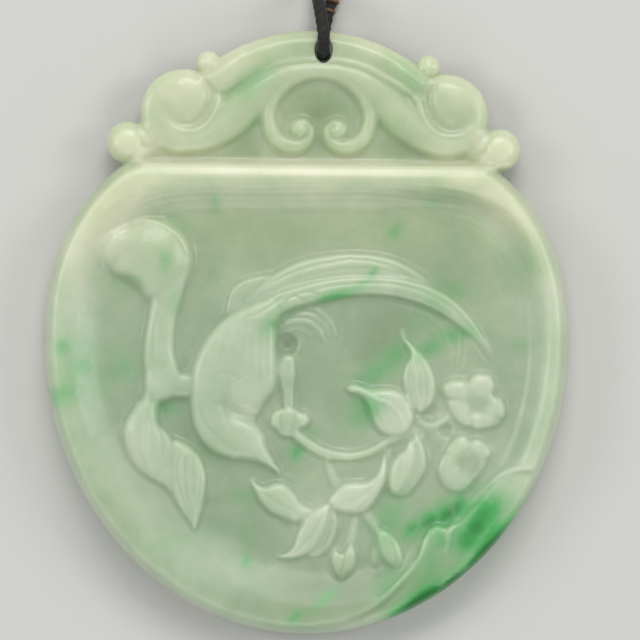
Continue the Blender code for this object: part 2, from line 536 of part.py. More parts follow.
def jade_plaque():
    bm = carved_face()
    ring_below(bm, 0.04, 0.9)
    ring_below(bm, 0.28, 0.32)
    ring_below(bm, 0.8, 0.0)
    cap = bmesh.ops.triangle_fill(bm, edges=open_edges(bm), use_beauty=True)["geom"]
    cap = [g for g in cap if isinstance(g, bmesh.types.BMFace)]
    for y in np.linspace(*BACK_CUT, 6):
        edges = {e for face in cap for e in face.edges}
        verts = {v for face in cap for v in face.verts}
        cut = bmesh.ops.bisect_plane(bm, geom=cap + list(edges) + list(verts), dist=1e-4,
                                     plane_co=(0, y, 0), plane_no=(0, 1, 0))["geom"]
        cap = [g for g in cut if isinstance(g, bmesh.types.BMFace)]
    verts = list({v for face in cap for v in face.verts})
    x, y = plan_of(verts)
    place(verts, x, y, back_height(y))
    bmesh.ops.triangulate(bm, faces=[face for face in bm.faces if len(face.verts) > 3])
    bmesh.ops.recalc_face_normals(bm, faces=bm.faces[:])
    return finish("jade_plaque", bm, JADE)


def finish(name, bm, material):
    """Turn a millimetre bmesh into a named object in metres."""
    bmesh.ops.scale(bm, vec=(MM, MM, MM), verts=bm.verts[:])
    mesh = bpy.data.meshes.new(name)
    bm.to_mesh(mesh)
    bm.free()
    mesh.materials.append(material)
    thing = bpy.data.objects.new(name, mesh)
    bpy.context.collection.objects.link(thing)
    return thing


def cord_path():
    """Centreline: down the front strand, round through the hole, and back along the strand behind."""
    turn_y = HOLE_AT[1] - 0.35 + CORD_TURN
    turn_z = 3.35
    front = [(1.35, 51.0, 1.1), (-0.1, 48.2, 0.72), (-0.85, 44.2, 0.7), (-0.6, 40.2, 0.7),
             (0.35, 36.9, 0.9), (0.95, 34.5, 2.25), (1.3, 32.6, 4.6)]
    back = [(2.15, 32.2, 0.72), (2.8, 34.4, 0.7), (3.75, 38.2, 0.7), (4.4, 42.4, 0.7), (4.0, 47.0, 0.7),
            (2.45, 51.0, 1.1)]
    arc = [(HOLE_AT[0], turn_y - CORD_TURN * math.sin(a), turn_z + CORD_TURN * math.cos(a))
           for a in np.radians(np.linspace(12, 168, 6))]
    return smooth_line(front + arc + back, per=2)


def cord():
    points = cord_path() * MM
    curve = bpy.data.curves.new("cord", "CURVE")
    curve.dimensions = "3D"
    curve.bevel_depth = CORD_RADIUS * MM
    curve.bevel_resolution = 2
    curve.use_fill_caps = True
    spline = curve.splines.new("POLY")
    spline.points.add(len(points) - 1)
    for knot, point in zip(spline.points, points):
        knot.co = (*point, 1)
    curve.materials.append(CORD_BLACK)
    thing = bpy.data.objects.new("cord", curve)
    bpy.context.collection.objects.link(thing)
    return thing


def cord_knot():
    """The knot that joins the two strands, flat where it rests."""
    bm = bmesh.new()
    bmesh.ops.create_uvsphere(bm, u_segments=20, v_segments=12, radius=1)
    for v in bm.verts:
        v.co = Vector(v.co[i] * KNOT_RADII[i] + KNOT_AT[i] for i in range(3))
    cut = bmesh.ops.bisect_plane(bm, geom=bm.verts[:] + bm.edges[:] + bm.faces[:], plane_co=(0, 0, 0),
                                 plane_no=(0, 0, -1), clear_outer=True)["geom_cut"]
    bmesh.ops.contextual_create(bm, geom=[g for g in cut if isinstance(g, bmesh.types.BMEdge)])
    bmesh.ops.recalc_face_normals(bm, faces=bm.faces[:])
    return finish("cord_knot", bm, CORD_BLACK)


def material(name, colour, roughness):
    made = bpy.data.materials.new(name)
    made.use_nodes = True
    shader = made.node_tree.nodes["Principled BSDF"]
    shader.inputs["Base Color"].default_value = (*colour, 1)
    shader.inputs["Roughness"].default_value = roughness
    return made


for old in list(bpy.data.objects):
    bpy.data.objects.remove(old, do_unlink=True)
JADE = material("pale_jade", (0.56, 0.63, 0.55), 0.15)
CORD_BLACK = material("cord_black", (0.015, 0.013, 0.012), 0.8)
jade_plaque()
cord()
cord_knot()
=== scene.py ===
"""The jade bird carving dressed for show: the carved stone, its cord and knot, a table and soft light.

Everything is in metres in the part's own frame; the carving's sizes are in millimetres, as on its drawing.
"""
import math

import bmesh
import bpy
import numpy as np
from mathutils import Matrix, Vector


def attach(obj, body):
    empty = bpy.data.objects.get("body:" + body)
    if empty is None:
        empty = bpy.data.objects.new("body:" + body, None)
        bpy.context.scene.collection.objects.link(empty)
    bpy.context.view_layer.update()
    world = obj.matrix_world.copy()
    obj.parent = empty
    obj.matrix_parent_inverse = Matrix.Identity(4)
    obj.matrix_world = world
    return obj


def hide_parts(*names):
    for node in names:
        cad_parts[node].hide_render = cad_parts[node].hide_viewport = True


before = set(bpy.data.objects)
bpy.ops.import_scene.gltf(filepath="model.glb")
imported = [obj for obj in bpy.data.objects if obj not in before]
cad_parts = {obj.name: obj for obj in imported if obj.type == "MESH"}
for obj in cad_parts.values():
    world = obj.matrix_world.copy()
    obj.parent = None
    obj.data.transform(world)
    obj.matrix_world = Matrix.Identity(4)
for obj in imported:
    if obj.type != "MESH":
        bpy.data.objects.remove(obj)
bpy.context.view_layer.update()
scene = bpy.context.scene


def placed(name, data):
    """A new object in the scene."""
    made = bpy.data.objects.new(name, data)
    scene.collection.objects.link(made)
    return made


# The camera looks straight down on the carved face, from far enough to flatten the relief's perspective.
# The view's middle lies a little right of and above the plaque's own.
VIEW_WIDTH = 0.064
VIEW_MIDDLE = (0.00135, 0.00125)
VIEW_LEVEL = 0.004         # the view has its width at this height above the table
CAMERA_HEIGHT = 0.46
FILM_WIDTH = 36
camera = placed("camera", bpy.data.cameras.new("camera"))
camera.location = (*VIEW_MIDDLE, CAMERA_HEIGHT)
camera.data.sensor_width = FILM_WIDTH
camera.data.lens = FILM_WIDTH * (CAMERA_HEIGHT - VIEW_LEVEL) / VIEW_WIDTH
camera.data.clip_start = 0.01
scene.camera = camera


# The carved stone: plaque, crown and relief cut as one from a slab of pale jadeite, then polished.
# The face is worked out as heights over the plan: a rim, a sunk field, and figures left standing on it.
MM = 0.001
HALF_WIDTH = 26.3
LOW_REACH = 29.5           # from the waist down to the foot
HIGH_REACH = 22.6          # from the waist up to the oval's top, which the crown covers
WAIST_Y = -0.75
SHOULDER_POWER = 2.3       # squareness of the upper half; 2 is a plain ellipse
FIELD = 4.7                # height of the sunk ground above the back
RIM = 6.3                  # height of the raised rim
RIM_WIDTH = 1.6            # from the outline to the cove that runs down to the field
FOOT = FIELD - 0.7         # where the figures' steep sides run out, under the ground
PAD_SPREAD = 0.15          # the cushions' worn sides reach this far past their outlines

BAR_TOP = 16.65            # upper edge of the bar between the field and the crown
BAR_SLOPE = -0.0112
BAR_CORNER = 5.0           # rounding of the field's upper corners

CROWN_AT = (0.7, 18.25)    # middle of the crown's foot
CROWN_TILT = math.radians(-1.2)
CROWN_FLOOR = 3.35
CROWN_BACK = 1.7           # the crown's back is cut away by this much
ARCH_CENTRE = -5.6         # along the crown's own axis
ARCH_RADIUS = 17.6
BALL = (18.6, 0.38, 2.15)  # across, up, radius, on both sides of the crown's axis
LOBE = (13.1, 3.55, 4.35)
KNOB = (11.0, 8.5, 1.25)
NECK = (16.3, 1.1, 1.75)   # joins each ball to the lobe
FOOTING = (17.2, -1.0, 1.7)    # and to the body
KNOB_SHIFT = 0.3           # the knobs sit a little right of the crown's axis
CURL_SHIFT = 0.5           # and so do the curls
HOLE_AT = (1.7, 28.2)
HOLE_REACH = (0.82, 1.2)   # half width and half height of the worn cord hole


def smooth_line(points, closed=False, per=7):
    """A Catmull-Rom curve through a few points; further columns, such as half widths, ride along."""
    p = np.array(points, float)
    if closed:
        p = np.vstack([p[-1:], p, p[:2]])
    else:
        p = np.vstack([2 * p[0] - p[1], p, 2 * p[-1] - p[-2]])
    t = np.linspace(0, 1, per, endpoint=False)[:, None]
    spans = []
    for a, b, c, d in zip(p[:-3], p[1:-2], p[2:-1], p[3:]):
        bend = (2 * a - 5 * b + 4 * c - d) * t**2 + (3 * b - a - 3 * c + d) * t**3
        spans.append(0.5 * (2 * b + (c - a) * t + bend))
    spans.append(p[-2:-1])
    return np.vstack(spans)


def nearest(x, y, line):
    """Distance to a line, the share of its length there, and the line's further columns."""
    a, b = line[:-1, :2], line[1:, :2]
    ab = b - a
    length = np.maximum((ab**2).sum(1), 1e-12)
    ax = x[:, None] - a[None, :, 0]
    ay = y[:, None] - a[None, :, 1]
    k = np.clip((ax * ab[:, 0] + ay * ab[:, 1]) / length, 0, 1)
    squared = (ax - k * ab[:, 0])**2 + (ay - k * ab[:, 1])**2
    j = squared.argmin(1)
    rows = np.arange(len(x))
    kj = k[rows, j]
    steps = np.sqrt(length)
    start = np.concatenate([[0], np.cumsum(steps)])
    share = (start[j] + kj * steps[j]) / start[-1]
    extra = line[j, 2:] * (1 - kj[:, None]) + line[j + 1, 2:] * kj[:, None]
    return np.sqrt(squared[rows, j]), share, extra


def depth_within(x, y, line):
    """How far inside a closed line each point lies, by its distance and by counting crossings."""
    within = np.zeros(len(x), bool)
    for (x0, y0), (x1, y1) in zip(line[:-1, :2], line[1:, :2]):
        if y0 != y1:
            crosses = (y0 > y) != (y1 > y)
            within ^= crosses & (x < (x1 - x0) * (y - y0) / (y1 - y0) + x0)
    return nearest(x, y, line)[0] * np.where(within, 1, -1)


def higher(a, b, soft):
    """The higher of two surfaces, with a fillet between them."""
    h = np.clip(0.5 + 0.5 * (b - a) / soft, 0, 1)
    return a * (1 - h) + b * h + soft * h * (1 - h)


def lower(a, b, soft):
    return -higher(-a, -b, soft)


def ease(v, lo, hi):
    """A soft step, 0 up to lo and 1 from hi on."""
    t = np.clip((v - lo) / (hi - lo), 0, 1)
    return t * t * (3 - 2 * t)


def quarter(u):
    """A quarter round, 0 at the edge and 1 from u = 1 on."""
    return np.sqrt(1 - (1 - np.clip(u, 0, 1))**2)


def to_crown(x, y):
    """Plan position in the crown's own tilted frame: across, up."""
    rx, ry = x - CROWN_AT[0], y - CROWN_AT[1]
    c, s = math.cos(CROWN_TILT), math.sin(CROWN_TILT)
    return rx * c + ry * s, -rx * s + ry * c


def body_depth(x, y):
    """How far inside the oval body a point lies."""
    up = y - WAIST_Y
    n = np.where(up > 0, SHOULDER_POWER, 2.0)
    reach = np.where(up > 0, HIGH_REACH, LOW_REACH)
    gx = np.abs(x) / HALF_WIDTH + 1e-9
    gy = np.abs(up) / reach + 1e-9
    gauge = (gx**n + gy**n)**(1 / n)
    slope = gauge**(1 - n) * np.hypot(gx**(n - 1) / HALF_WIDTH, gy**(n - 1) / reach)
    return (1 - gauge) / slope


def edge_depth(x, y):
    """How far inside the plaque's whole outline a point lies."""
    across, up = to_crown(x, y)
    depth = higher(body_depth(x, y), ARCH_RADIUS - np.hypot(across, up - ARCH_CENTRE), 0.3)
    for (at, height, radius), shift in ((FOOTING, 0), (NECK, 0), (LOBE, 0), (BALL, 0), (KNOB, KNOB_SHIFT)):
        depth = higher(depth, radius - np.hypot(np.abs(across - shift) - at, up - height), 0.35)
    return depth


def hole_depth(x, y):
    """How far outside the cord hole a point lies."""
    across, up = (x - HOLE_AT[0]) / HOLE_REACH[0], (y - HOLE_AT[1]) / HOLE_REACH[1]
    gauge = np.hypot(across, up) + 1e-9
    return (gauge - 1) * gauge / (np.hypot(across / HOLE_REACH[0], up / HOLE_REACH[1]) + 1e-9)


class Face:
    """The heights of the carved face over a cloud of plan points."""

    def __init__(self, x, y, z):
        self.x, self.y, self.z = x, y, z
        self.clear = np.full(len(x), 9.0)     # distance to the foot of the nearest figure

    def near(self, line, margin):
        """The points that lie within a margin of the box round a line."""
        lo, hi = line[:, :2].min(0) - margin, line[:, :2].max(0) + margin
        x, y = self.x, self.y
        return np.flatnonzero((x > lo[0]) & (x < hi[0]) & (y > lo[1]) & (y < hi[1]))

    def rib(self, points, top, foot=FOOT, soft=0.08, flat=0.7, wall=0.7):
        """A raised rib along points (x, y, half width); top is one height or a list along it."""
        line = smooth_line(points)
        w = self.near(line, line[:, 2].max() + 1.2)
        d, share, extra = nearest(self.x[w], self.y[w], line)
        half = np.maximum(extra[:, 0], 1e-3)
        heights = np.atleast_1d(top)
        crest = np.interp(share, np.linspace(0, 1, len(heights)), heights)
        s = np.clip(d / half, 0, 1)
        arch = (1 - wall) * (1 - s**2)**flat + wall * (1 - s**8)**0.5 - 3 * np.maximum(d / half - 1, 0)
        self.z[w] = higher(self.z[w], foot + (crest - foot) * arch, soft)
        self.clear[w] = np.minimum(self.clear[w], d - half)

    def dome(self, x, y, radius, top, wall=0.3, **how):
        """A round boss."""
        self.rib([(x - 0.02, y, radius), (x + 0.02, y, radius)], top, wall=wall, **how)

    def pad(self, points, top, edge, foot=FOOT, soft=0.08, per=7, wall=0.7):
        """A cushion with a rounded edge inside a closed outline."""
        line = smooth_line(points, closed=True, per=per)
        w = self.near(line, 1.2)
        d = depth_within(self.x[w], self.y[w], line) + PAD_SPREAD
        rise = (1 - wall) * quarter(d / (1.6 * edge)) + wall * quarter(d / (0.45 * edge))
        self.z[w] = higher(self.z[w], foot + (top - foot) * (rise + 3 * np.minimum(d, 0)), soft)
        self.clear[w] = np.minimum(self.clear[w], -d)

    def cut(self, points, depth):
        """A groove along points (x, y, half width), of one depth or a list; a negative one raises a ridge."""
        line = smooth_line(points)
        w = self.near(line, line[:, 2].max() + 0.1)
        d, share, extra = nearest(self.x[w], self.y[w], line)
        s = np.clip(d / np.maximum(extra[:, 0], 1e-3), 0, 1)
        depths = np.atleast_1d(depth)
        self.z[w] -= np.interp(share, np.linspace(0, 1, len(depths)), depths) * (1 - s)**2 * (1 + 2 * s)

    def hollow(self, x, y, radius, depth, stretch=1.0):
        """A ground hollow with soft sides."""
        r = np.hypot((self.x - x) / stretch, self.y - y) / radius
        self.z -= depth * (1 - ease(r, 0.35, 1.25))


def field_inset(x, y):
    """How far a point lies inside the rim and the bar, and how far below the bar's upper edge."""
    below = BAR_TOP + BAR_SLOPE * (x - CROWN_AT[0]) - y
    return lower(body_depth(x, y), below + 0.55, BAR_CORNER), below


def dish(x, y):
    """The plaque before its figures: rim, bar, sunk field and the crown's sunk floor."""
    inset, below = field_inset(x, y)
    # the cove is widest at the lower left and narrowest at the upper right; a low step runs along its top
    cove = 6.6 - 2.0 * ease(x, 4, 22) - 1.2 * ease(y, 4, 14) + 2.6 * ease(-y, 6, 28) * ease(-x, -10, 12)
    ground = RIM - (RIM - FIELD) * ease(inset, RIM_WIDTH, cove)
    ground -= (0.12 - 0.06 * ease(x, 0, 15)) * ease(y, -16, -2) * ease(inset, 1.7, 2.4)
    ground -= 0.4 * (1 - ease(below, -0.2, 1.5))
    floor = CROWN_FLOOR + 0.4 * ease(below, -1.6, -0.5)
    return floor + (ground - floor) * quarter((below + 0.35) / 0.6)


def left_stem(f):
    """A round fruit on its stem, a web to the bird, and two ribbed pods below."""
    f.rib([(-16.2, 8.3, 3.2), (-18.6, 8.6, 2.8), (-21, 9, 2.6), (-23, 9.6, 2.2)], [5.8, 5.75, 5.6, 5.2],
        foot=4.4, soft=0.5, wall=0.1)
    f.dome(-15.5, 7.35, 4.65, 6.25, wall=0.2, soft=0.3)
    f.cut([(-21.5, 4.7, 1.5), (-19.4, 4.6, 1.7), (-17.8, 4.4, 1.75), (-17.1, 3.2, 1.6)], [0.6, 1.2, 1.4, 1])
    f.rib([(-14.3, 6.2, 2.9), (-14.05, 4.6, 2.2), (-14.05, 3.3, 1.7), (-14.4, 1.5, 1.58),
        (-14.75, -1.75, 1.75), (-14.45, -4, 1.95), (-14.5, -5.3, 1.8)], [5.6, 5.6, 5.6, 5.65, 5.7],
        soft=0.25)
    f.rib([(-14.4, -5, 2), (-13.4, -5.1, 1.75), (-12.4, -5.25, 1.45), (-10.4, -5.3, 1.6)], [5.65, 5.4],
        soft=0.4)
    f.rib([(-15.1, -5.6, 1.25), (-15.6, -7, 1.1), (-16, -8.2, 1.5)], [5.5, 5.55], soft=0.3)
    pod = [(-15.8, -5.9), (-16.8, -6.95), (-18, -8.55), (-18.35, -10.15), (-18, -12.1), (-17, -13.65),
        (-15.65, -14.65), (-14.25, -15.4), (-13.3, -16.2), (-13.1, -14.6), (-13.2, -13), (-13.1, -11.4),
        (-13.7, -10), (-14.7, -9), (-14.9, -7.95), (-14.9, -6.6)]
    f.pad(pod, 5.6, 1.5, soft=0.2)
    f.pad([(-13.3, -10.7), (-12.4, -10.9), (-11.5, -11.45), (-10.5, -12.5), (-10, -14.2), (-10.1, -16.2),
        (-10.5, -18), (-11.1, -19.7), (-12, -18.5), (-13.1, -16.8), (-13.5, -15.2), (-13.6, -13.6),
        (-13.4, -12.2)], 5.6, 1)
    f.rib([(-16.1, -7.8, 1.2), (-16.4, -9.6, 1.9), (-16, -11.4, 2), (-15.3, -12.9, 1.4)],
        [5.7, 5.9, 5.9, 5.7], foot=5, soft=0.4, wall=0)


def tail(f):
    """Two long ribbon feathers that arch over the bird, the upper one lying behind the lower."""
    upper = [(-5.2, 2.9, 1.1), (-3.2, 4.4, 1.35), (-0.6, 5.75, 1.5), (2.4, 6.4, 1.5), (5.6, 6.55, 1.5),
        (8.6, 6, 1.5), (11, 4.9, 1.25), (13, 3.5, 0.8)]
    f.rib(upper, [5.3, 5.4, 5.4, 5.35, 5.25, 5.05], wall=0.85)
    under = [(-4.6, 1.9, 1.4), (-2, 3.25, 1.15), (0.6, 4, 1.2), (3.4, 4.55, 1.15), (6.2, 4.7, 1.05),
        (9, 4.5, 1.08), (11.8, 3.75, 1.12), (14.2, 2.5, 1.05), (16, 0.9, 0.85), (17.4, -0.7, 0.5),
        (18.6, -2.6, 0.18)]
    f.rib(under, [5.9, 5.8, 5.7, 5.65, 5.6, 5.45, 5.15, 4.7], wall=0.85)


def bird(f):
    """The long-tailed bird: tail, far wing, body with arched neck, near wing, head and hooked coverts."""
    tail(f)
    far_wing = [(-8, 1.4), (-7.85, 3.2), (-7.4, 4.4), (-6.4, 5.2), (-5, 5.65), (-3, 5.9), (-2, 5.2),
        (-3.4, 3.4), (-5.4, 1.6)]
    f.pad(far_wing, 5.1, 0.55)
    trunk = [(-3, 3.1), (-5, 2.9), (-6.6, 2.2), (-8, 0.6), (-9.3, -1.2), (-10.3, -2.8), (-11.1, -4.3),
        (-11.6, -6.2), (-11.5, -8.1), (-10.8, -9.7), (-9.6, -11), (-8, -12.1), (-6.2, -12.8), (-4.9, -12.7),
        (-4.2, -11.4), (-4.4, -9.8), (-4.8, -8.8), (-4.45, -7.6), (-3.8, -6.4), (-3.3, -5), (-3.1, -3),
        (-3.1, -0.5), (-2.6, 1.5)]
    f.pad(trunk, 5.65, 1.6, soft=0.2)
    nape = [(-3.9, 2, 1.3), (-6.2, 0.8, 1.7), (-8.2, -1.3, 1.9), (-9.4, -3.8, 2), (-9.8, -6.4, 1.8),
        (-9.6, -8.6, 1.8), (-8.6, -10.3, 1.7), (-7, -11.2, 1.5)]
    f.rib(nape, [6, 6.1, 6.15, 6.1, 6.05, 6], foot=4.9, soft=0.5)
    wing = [(-8.2, 0.2), (-6.4, 0.9), (-4.4, 1.3), (-3.4, 0.6), (-3.2, -2), (-3.3, -5), (-4.3, -6.6),
        (-5.8, -7.3), (-7.6, -7.1), (-8.9, -5.6), (-9.2, -3.6), (-8.8, -1.6)]
    f.pad(wing, 6.05, 1.8, foot=5.3, soft=0.4, wall=0.2)
    f.cut([(-9, -7, 0.5), (-7.9, -7.55, 0.6), (-6.8, -7.95, 0.7), (-5.5, -8.35, 0.8), (-4.2, -9, 0.9)],
        [0.1, 0.25, 0.35, 0.4])
    head = [(-8.4, -7.6), (-7.2, -8.25), (-5.9, -8.6), (-4.9, -9.2), (-4.15, -10.2), (-3.9, -11.2),
        (-3.25, -12.6), (-2.5, -14.1), (-3.7, -13.45), (-4.9, -12.95), (-6.4, -12.7), (-8, -11.8),
        (-9.3, -10.5), (-9.6, -9)]
    f.pad(head, 6.1, 1.7, soft=0.25, wall=0.6)
    fan = [(-3, 1.6), (-1.4, 2.25), (0.1, 2.6), (1.4, 2.2), (2.4, 1.2), (3.05, -0.3), (2.2, -0.6),
        (1.3, -0.9), (0.2, -0.4), (-1.4, 0.1), (-3.2, 0.2)]
    f.pad(fan, 4.8, 1.2, soft=0.25, wall=0.4)


def leg(f):
    """A slim leg whose clenched foot grips the branch."""
    f.rib([(-1.85, -2.9, 0.9), (-1.95, -3.6, 1.05), (-1.9, -4.6, 0.98), (-1.8, -5.9, 0.72),
        (-1.75, -7.9, 0.68)], [5.25, 5.35, 5.2, 5.15, 5.2], wall=0.8)
    foot = [(-3.6, -8.5), (-3.3, -7.9), (-2.6, -7.55), (-1.9, -7.4), (-1.2, -7.5), (-0.6, -7.9),
        (0.1, -8.1), (0.3, -8.8), (-0.1, -9.4), (-0.6, -9.6), (-1, -10.2), (-1.8, -10.5), (-2.5, -10.3),
        (-3, -9.7), (-3.5, -9.3)]
    f.pad(foot, 5.5, 0.9)
    f.cut([(-2.5, -8.2, 0.2), (-2.55, -9, 0.3), (-2.3, -9.8, 0.2)], 0.2)
    f.cut([(-1.2, -8.2, 0.2), (-1.2, -9, 0.3), (-1.5, -9.8, 0.2)], 0.2)


# twigs and stems: height, fillet, and the points with their half widths
TWIGS = [
    (5, 0.25, (2, -12.5, 0.5), (2.25, -13.8, 0.42), (2.9, -15.2, 0.5)),
    (4.95, 0.25, (7.9, -11.4, 0.4), (8, -12.4, 0.35), (7.8, -13.4, 0.3)),
    (4.95, 0.2, (10.7, -8.4, 0.5), (11.6, -9.1, 0.55), (12.6, -9.35, 0.55), (13.6, -8.9, 0.5),
     (14.2, -8.4, 0.4)),
    (4.75, 0.3, (11.4, -9.6, 0.8), (12.8, -10.3, 0.8), (14, -11.2, 0.6)),
    (5.05, 0.3, (9.4, -10.2, 0.6), (10.4, -10, 0.8), (11.2, -10.4, 0.7)),
    (5.15, 0.25, (-1.6, -18.1, 1.2), (-0.4, -18.2, 0.95), (0.9, -17.85, 0.75), (2.2, -17.3, 0.6)),
    (5, 0.2, (4.85, -17.8, 0.5), (4.8, -19.4, 0.45), (4.55, -20.8, 0.45), (4.1, -21.8, 0.55)),
    (5.05, 0.2, (5.7, -17.8, 0.6), (6.5, -18.9, 0.6), (7.1, -20, 0.6), (7.4, -21, 0.8)),
]


def branch(f):
    """The bough in the bird's grip, its twigs, and the stems of the leaves and buds."""
    f.rib([(-1, -10.2, 0.6), (0.2, -11.1, 0.62), (1.6, -11.9, 0.62), (3.2, -12.3, 0.58), (5, -12.3, 0.55),
        (6.6, -11.8, 0.5), (7.9, -11, 0.5), (9.2, -10.4, 0.6)], [5.4, 5.25, 5.2, 5.1], flat=0.4)
    for top, soft, *points in TWIGS:
        f.rib(points, top, soft=soft)


# leaves and buds, from the near ones to those that lie on top: height, edge, fillet, outline
LEAVES = [
    (5.45, 0.85, 0.15, (9.5, 0.3), (9.8, -0.6), (10.7, -1.4), (11.8, -2.4), (12.6, -3.7), (12.95, -5.1),
     (12.8, -6.5), (12.1, -7.7), (11.3, -8), (10.4, -7.3), (9.9, -6), (9.55, -4.6), (9.8, -3.3),
     (10.35, -2.3), (10.2, -1.5), (9.65, -0.6)),
    (5.7, 0.8, 0.12, (4.1, -5.5), (4.7, -5.2), (5.5, -5.35), (6.4, -5.65), (7.6, -5.6), (8.8, -5.75),
     (9.8, -6.3), (10.5, -7.4), (10.65, -8.7), (10.1, -9.8), (9, -10.25), (7.9, -10.1), (7, -9.4),
     (6.5, -8.4), (6.15, -7.3), (5.75, -6.5), (5.1, -6.05), (4.4, -5.9)),
    (5.35, 0.8, 0.12, (10.9, -10.2), (11.5, -10.7), (11.95, -12), (12, -13.3), (11.5, -14.5),
     (10.7, -15.6), (9.9, -16.3), (9, -16.4), (8.35, -15.9), (8.2, -14.8), (8.3, -13.6), (8.7, -12.7),
     (9.5, -11.9), (10.2, -11.2)),
    (5.75, 1, 0.1, (10.4, -10.7), (10.75, -11.7), (10.75, -13.2), (10.3, -14.6), (9.6, -15.7),
     (8.8, -16.1), (8.3, -15.6), (8.2, -14.6), (8.35, -13.4), (8.9, -12.4), (9.7, -11.75)),
    (5.8, 0.9, 0.12, (2.2, -16.7), (2.9, -15.75), (3.7, -15.1), (4.7, -14.9), (5.8, -14.9), (6.6, -14.55),
     (7.15, -13.9), (7.45, -13.1), (7.75, -12.4), (8, -13.3), (7.9, -14.5), (7.5, -15.7), (6.8, -16.8),
     (6, -17.7), (4.9, -18.05), (3.7, -18), (2.8, -17.6)),
    (5.6, 0.85, 0.15, (-5.5, -14.7), (-4.9, -15.15), (-4.1, -15.35), (-3.3, -15.05), (-2.5, -15),
     (-1.8, -15.35), (-1.2, -16), (-0.6, -16.9), (0.2, -17.4), (0.6, -17.9), (-0.4, -18.6), (-1.1, -18.9),
     (-2.2, -18.5), (-3.3, -18.1), (-4.2, -17.4), (-4.8, -16.6), (-5.2, -15.6)),
    (5.2, 0.6, 0.12, (2.6, -17.6), (3.1, -18.4), (3.15, -19.3), (2.9, -20.3), (2.45, -21.3), (1.7, -22.1),
     (0.7, -22.5), (0, -22.2), (0.8, -21), (1.6, -19.4), (2, -18.2)),
    (5.65, 0.95, 0.12, (2.3, -17.1), (1.3, -17.4), (0.3, -18), (-0.4, -18.9), (-1, -20.1), (-1.35, -21.2),
     (-1.9, -21.9), (-2.8, -22.35), (-1.6, -22.55), (-0.3, -22.3), (0.7, -21.6), (1.5, -20.5), (2, -19.4),
     (2.2, -18.3)),
    (5.35, 0.7, 0.15, (3.6, -22), (4.2, -21.3), (4.75, -21.4), (4.95, -22.4), (4.8, -23.4), (4.2, -24.3),
     (3.5, -24.8), (2.85, -24.2), (2.5, -23.2), (2.45, -22.2), (2.75, -21.6), (3.15, -21.8)),
    (5, 0.5, 0.15, (7.3, -20.4), (6.9, -21.1), (6.7, -22.2), (6.7, -23.3), (7.1, -23.4), (7.6, -22.6),
     (7.8, -21.6), (7.7, -20.6)),
    (5.5, 0.9, 0.1, (7.3, -19.6), (8.3, -19.9), (9.1, -20.7), (9.6, -21.8), (9.7, -22.9), (9.2, -23.8),
     (8.4, -23.4), (7.6, -22.5), (7.2, -21.4), (7.05, -20.4)),
]


def leaves(f):
    """The sprays' leaves and buds."""
    for top, edge, soft, *outline in LEAVES:
        f.pad(outline, top, edge, soft=soft)


def blossoms(f):
    """Two blossoms seen aslant: lobed cushions, split between their petals and sunk in the middle."""
    upper = [(13.57, -5.2), (14.35, -4.7), (15.2, -4.6), (16, -4.6), (17, -4), (18.4, -4.2), (18.9, -5.2),
        (18.8, -6.1), (19.5, -6.5), (19.95, -7.5), (19.75, -8.6), (18.9, -9.4), (17.7, -9.7), (16.5, -9.7),
        (15.2, -9.1), (14.3, -8), (13.9, -6.9), (13.57, -6.1)]
    lowest = [(14.9, -10.35), (15.8, -10.15), (16.5, -10.5), (17.35, -10.5), (18.25, -11.2), (18.55, -12.1),
        (18.1, -12.9), (17.5, -13.9), (16.7, -15), (15.8, -15.85), (14.7, -16), (13.7, -15.4),
        (13.1, -14.3), (13, -13.3), (13.4, -12.3), (14, -11.3)]
    f.pad(upper, 5.5, 1, soft=0.2, wall=0.5)
    f.hollow(17.0, -7.25, 1.5, 0.4)
    f.pad(lowest, 5.4, 1, soft=0.2, wall=0.5)
    f.hollow(16.1, -13.2, 1.5, 0.4)
    splits = [(16, -4.1, 16.2, -6.4), (13.6, -6.65, 16, -6.7), (19.3, -6, 18.2, -6.3),
        (16.3, -10, 16.6, -8.6), (20, -9, 18.4, -8.2), (16.4, -10.2, 16.2, -12), (18.8, -12.7, 17.3, -12.7),
        (13.1, -11.6, 15, -12.4), (16.9, -15.3, 16.4, -14.4)]
    for x0, y0, x1, y1 in splits:
        f.cut([(x0, y0, 0.35), ((x0 + x1) / 2, (y0 + y1) / 2, 0.35), (x1, y1, 0.3)], [0.3, 0.2, 0])


def hill(f):
    """A rounded bank across the lower right, edged by a raised roll, with a boulder at its left end."""
    line = smooth_line([(27, -13.3), (22.9, -13.45), (20.7, -13.55), (19.6, -14), (18.3, -15.2),
        (16.7, -17), (15.2, -18.6), (14, -19.2), (12.9, -19.1), (12, -19.7), (11.4, -20.8), (10.9, -22.4),
        (9.6, -24.2), (7.4, -26.6), (4, -28.5), (0.5, -29.9), (10, -36), (34, -30)], closed=True)
    d = depth_within(f.x, f.y, line)
    crest = 5.5 - 0.1 * ease(d, 1.0, 4.0)
    f.z = higher(f.z, FOOT + (crest - FOOT) * quarter(d / 0.55), 0.2)
    f.z = lower(f.z, crest + 2.5 * (1 - ease(d, -1.1, 0.75)), 0.25)
    f.cut([(22.9, -13.5, 0.3), (20.8, -13.6, 0.4), (19.5, -14.05, 0.4), (18.1, -15.2, 0.4),
        (16.4, -16.95, 0.4), (14.8, -18.7, 0.4), (14.2, -20.1, 0.4), (13.9, -22, 0.3)],
        [-0.15, -0.3, -0.35, -0.35, -0.15])
    f.cut([(13.9, -20.4, 0.3), (13.6, -19.65, 0.32), (13, -19.35, 0.35), (12.2, -19.8, 0.35),
        (11.8, -20.8, 0.35), (11.1, -22.6, 0.35), (9.6, -24.5, 0.35), (7.6, -26.5, 0.35),
        (5.2, -28.3, 0.3)], [-0.1, -0.25, -0.25, -0.2, -0.15])
    f.clear = np.minimum(f.clear, -d)


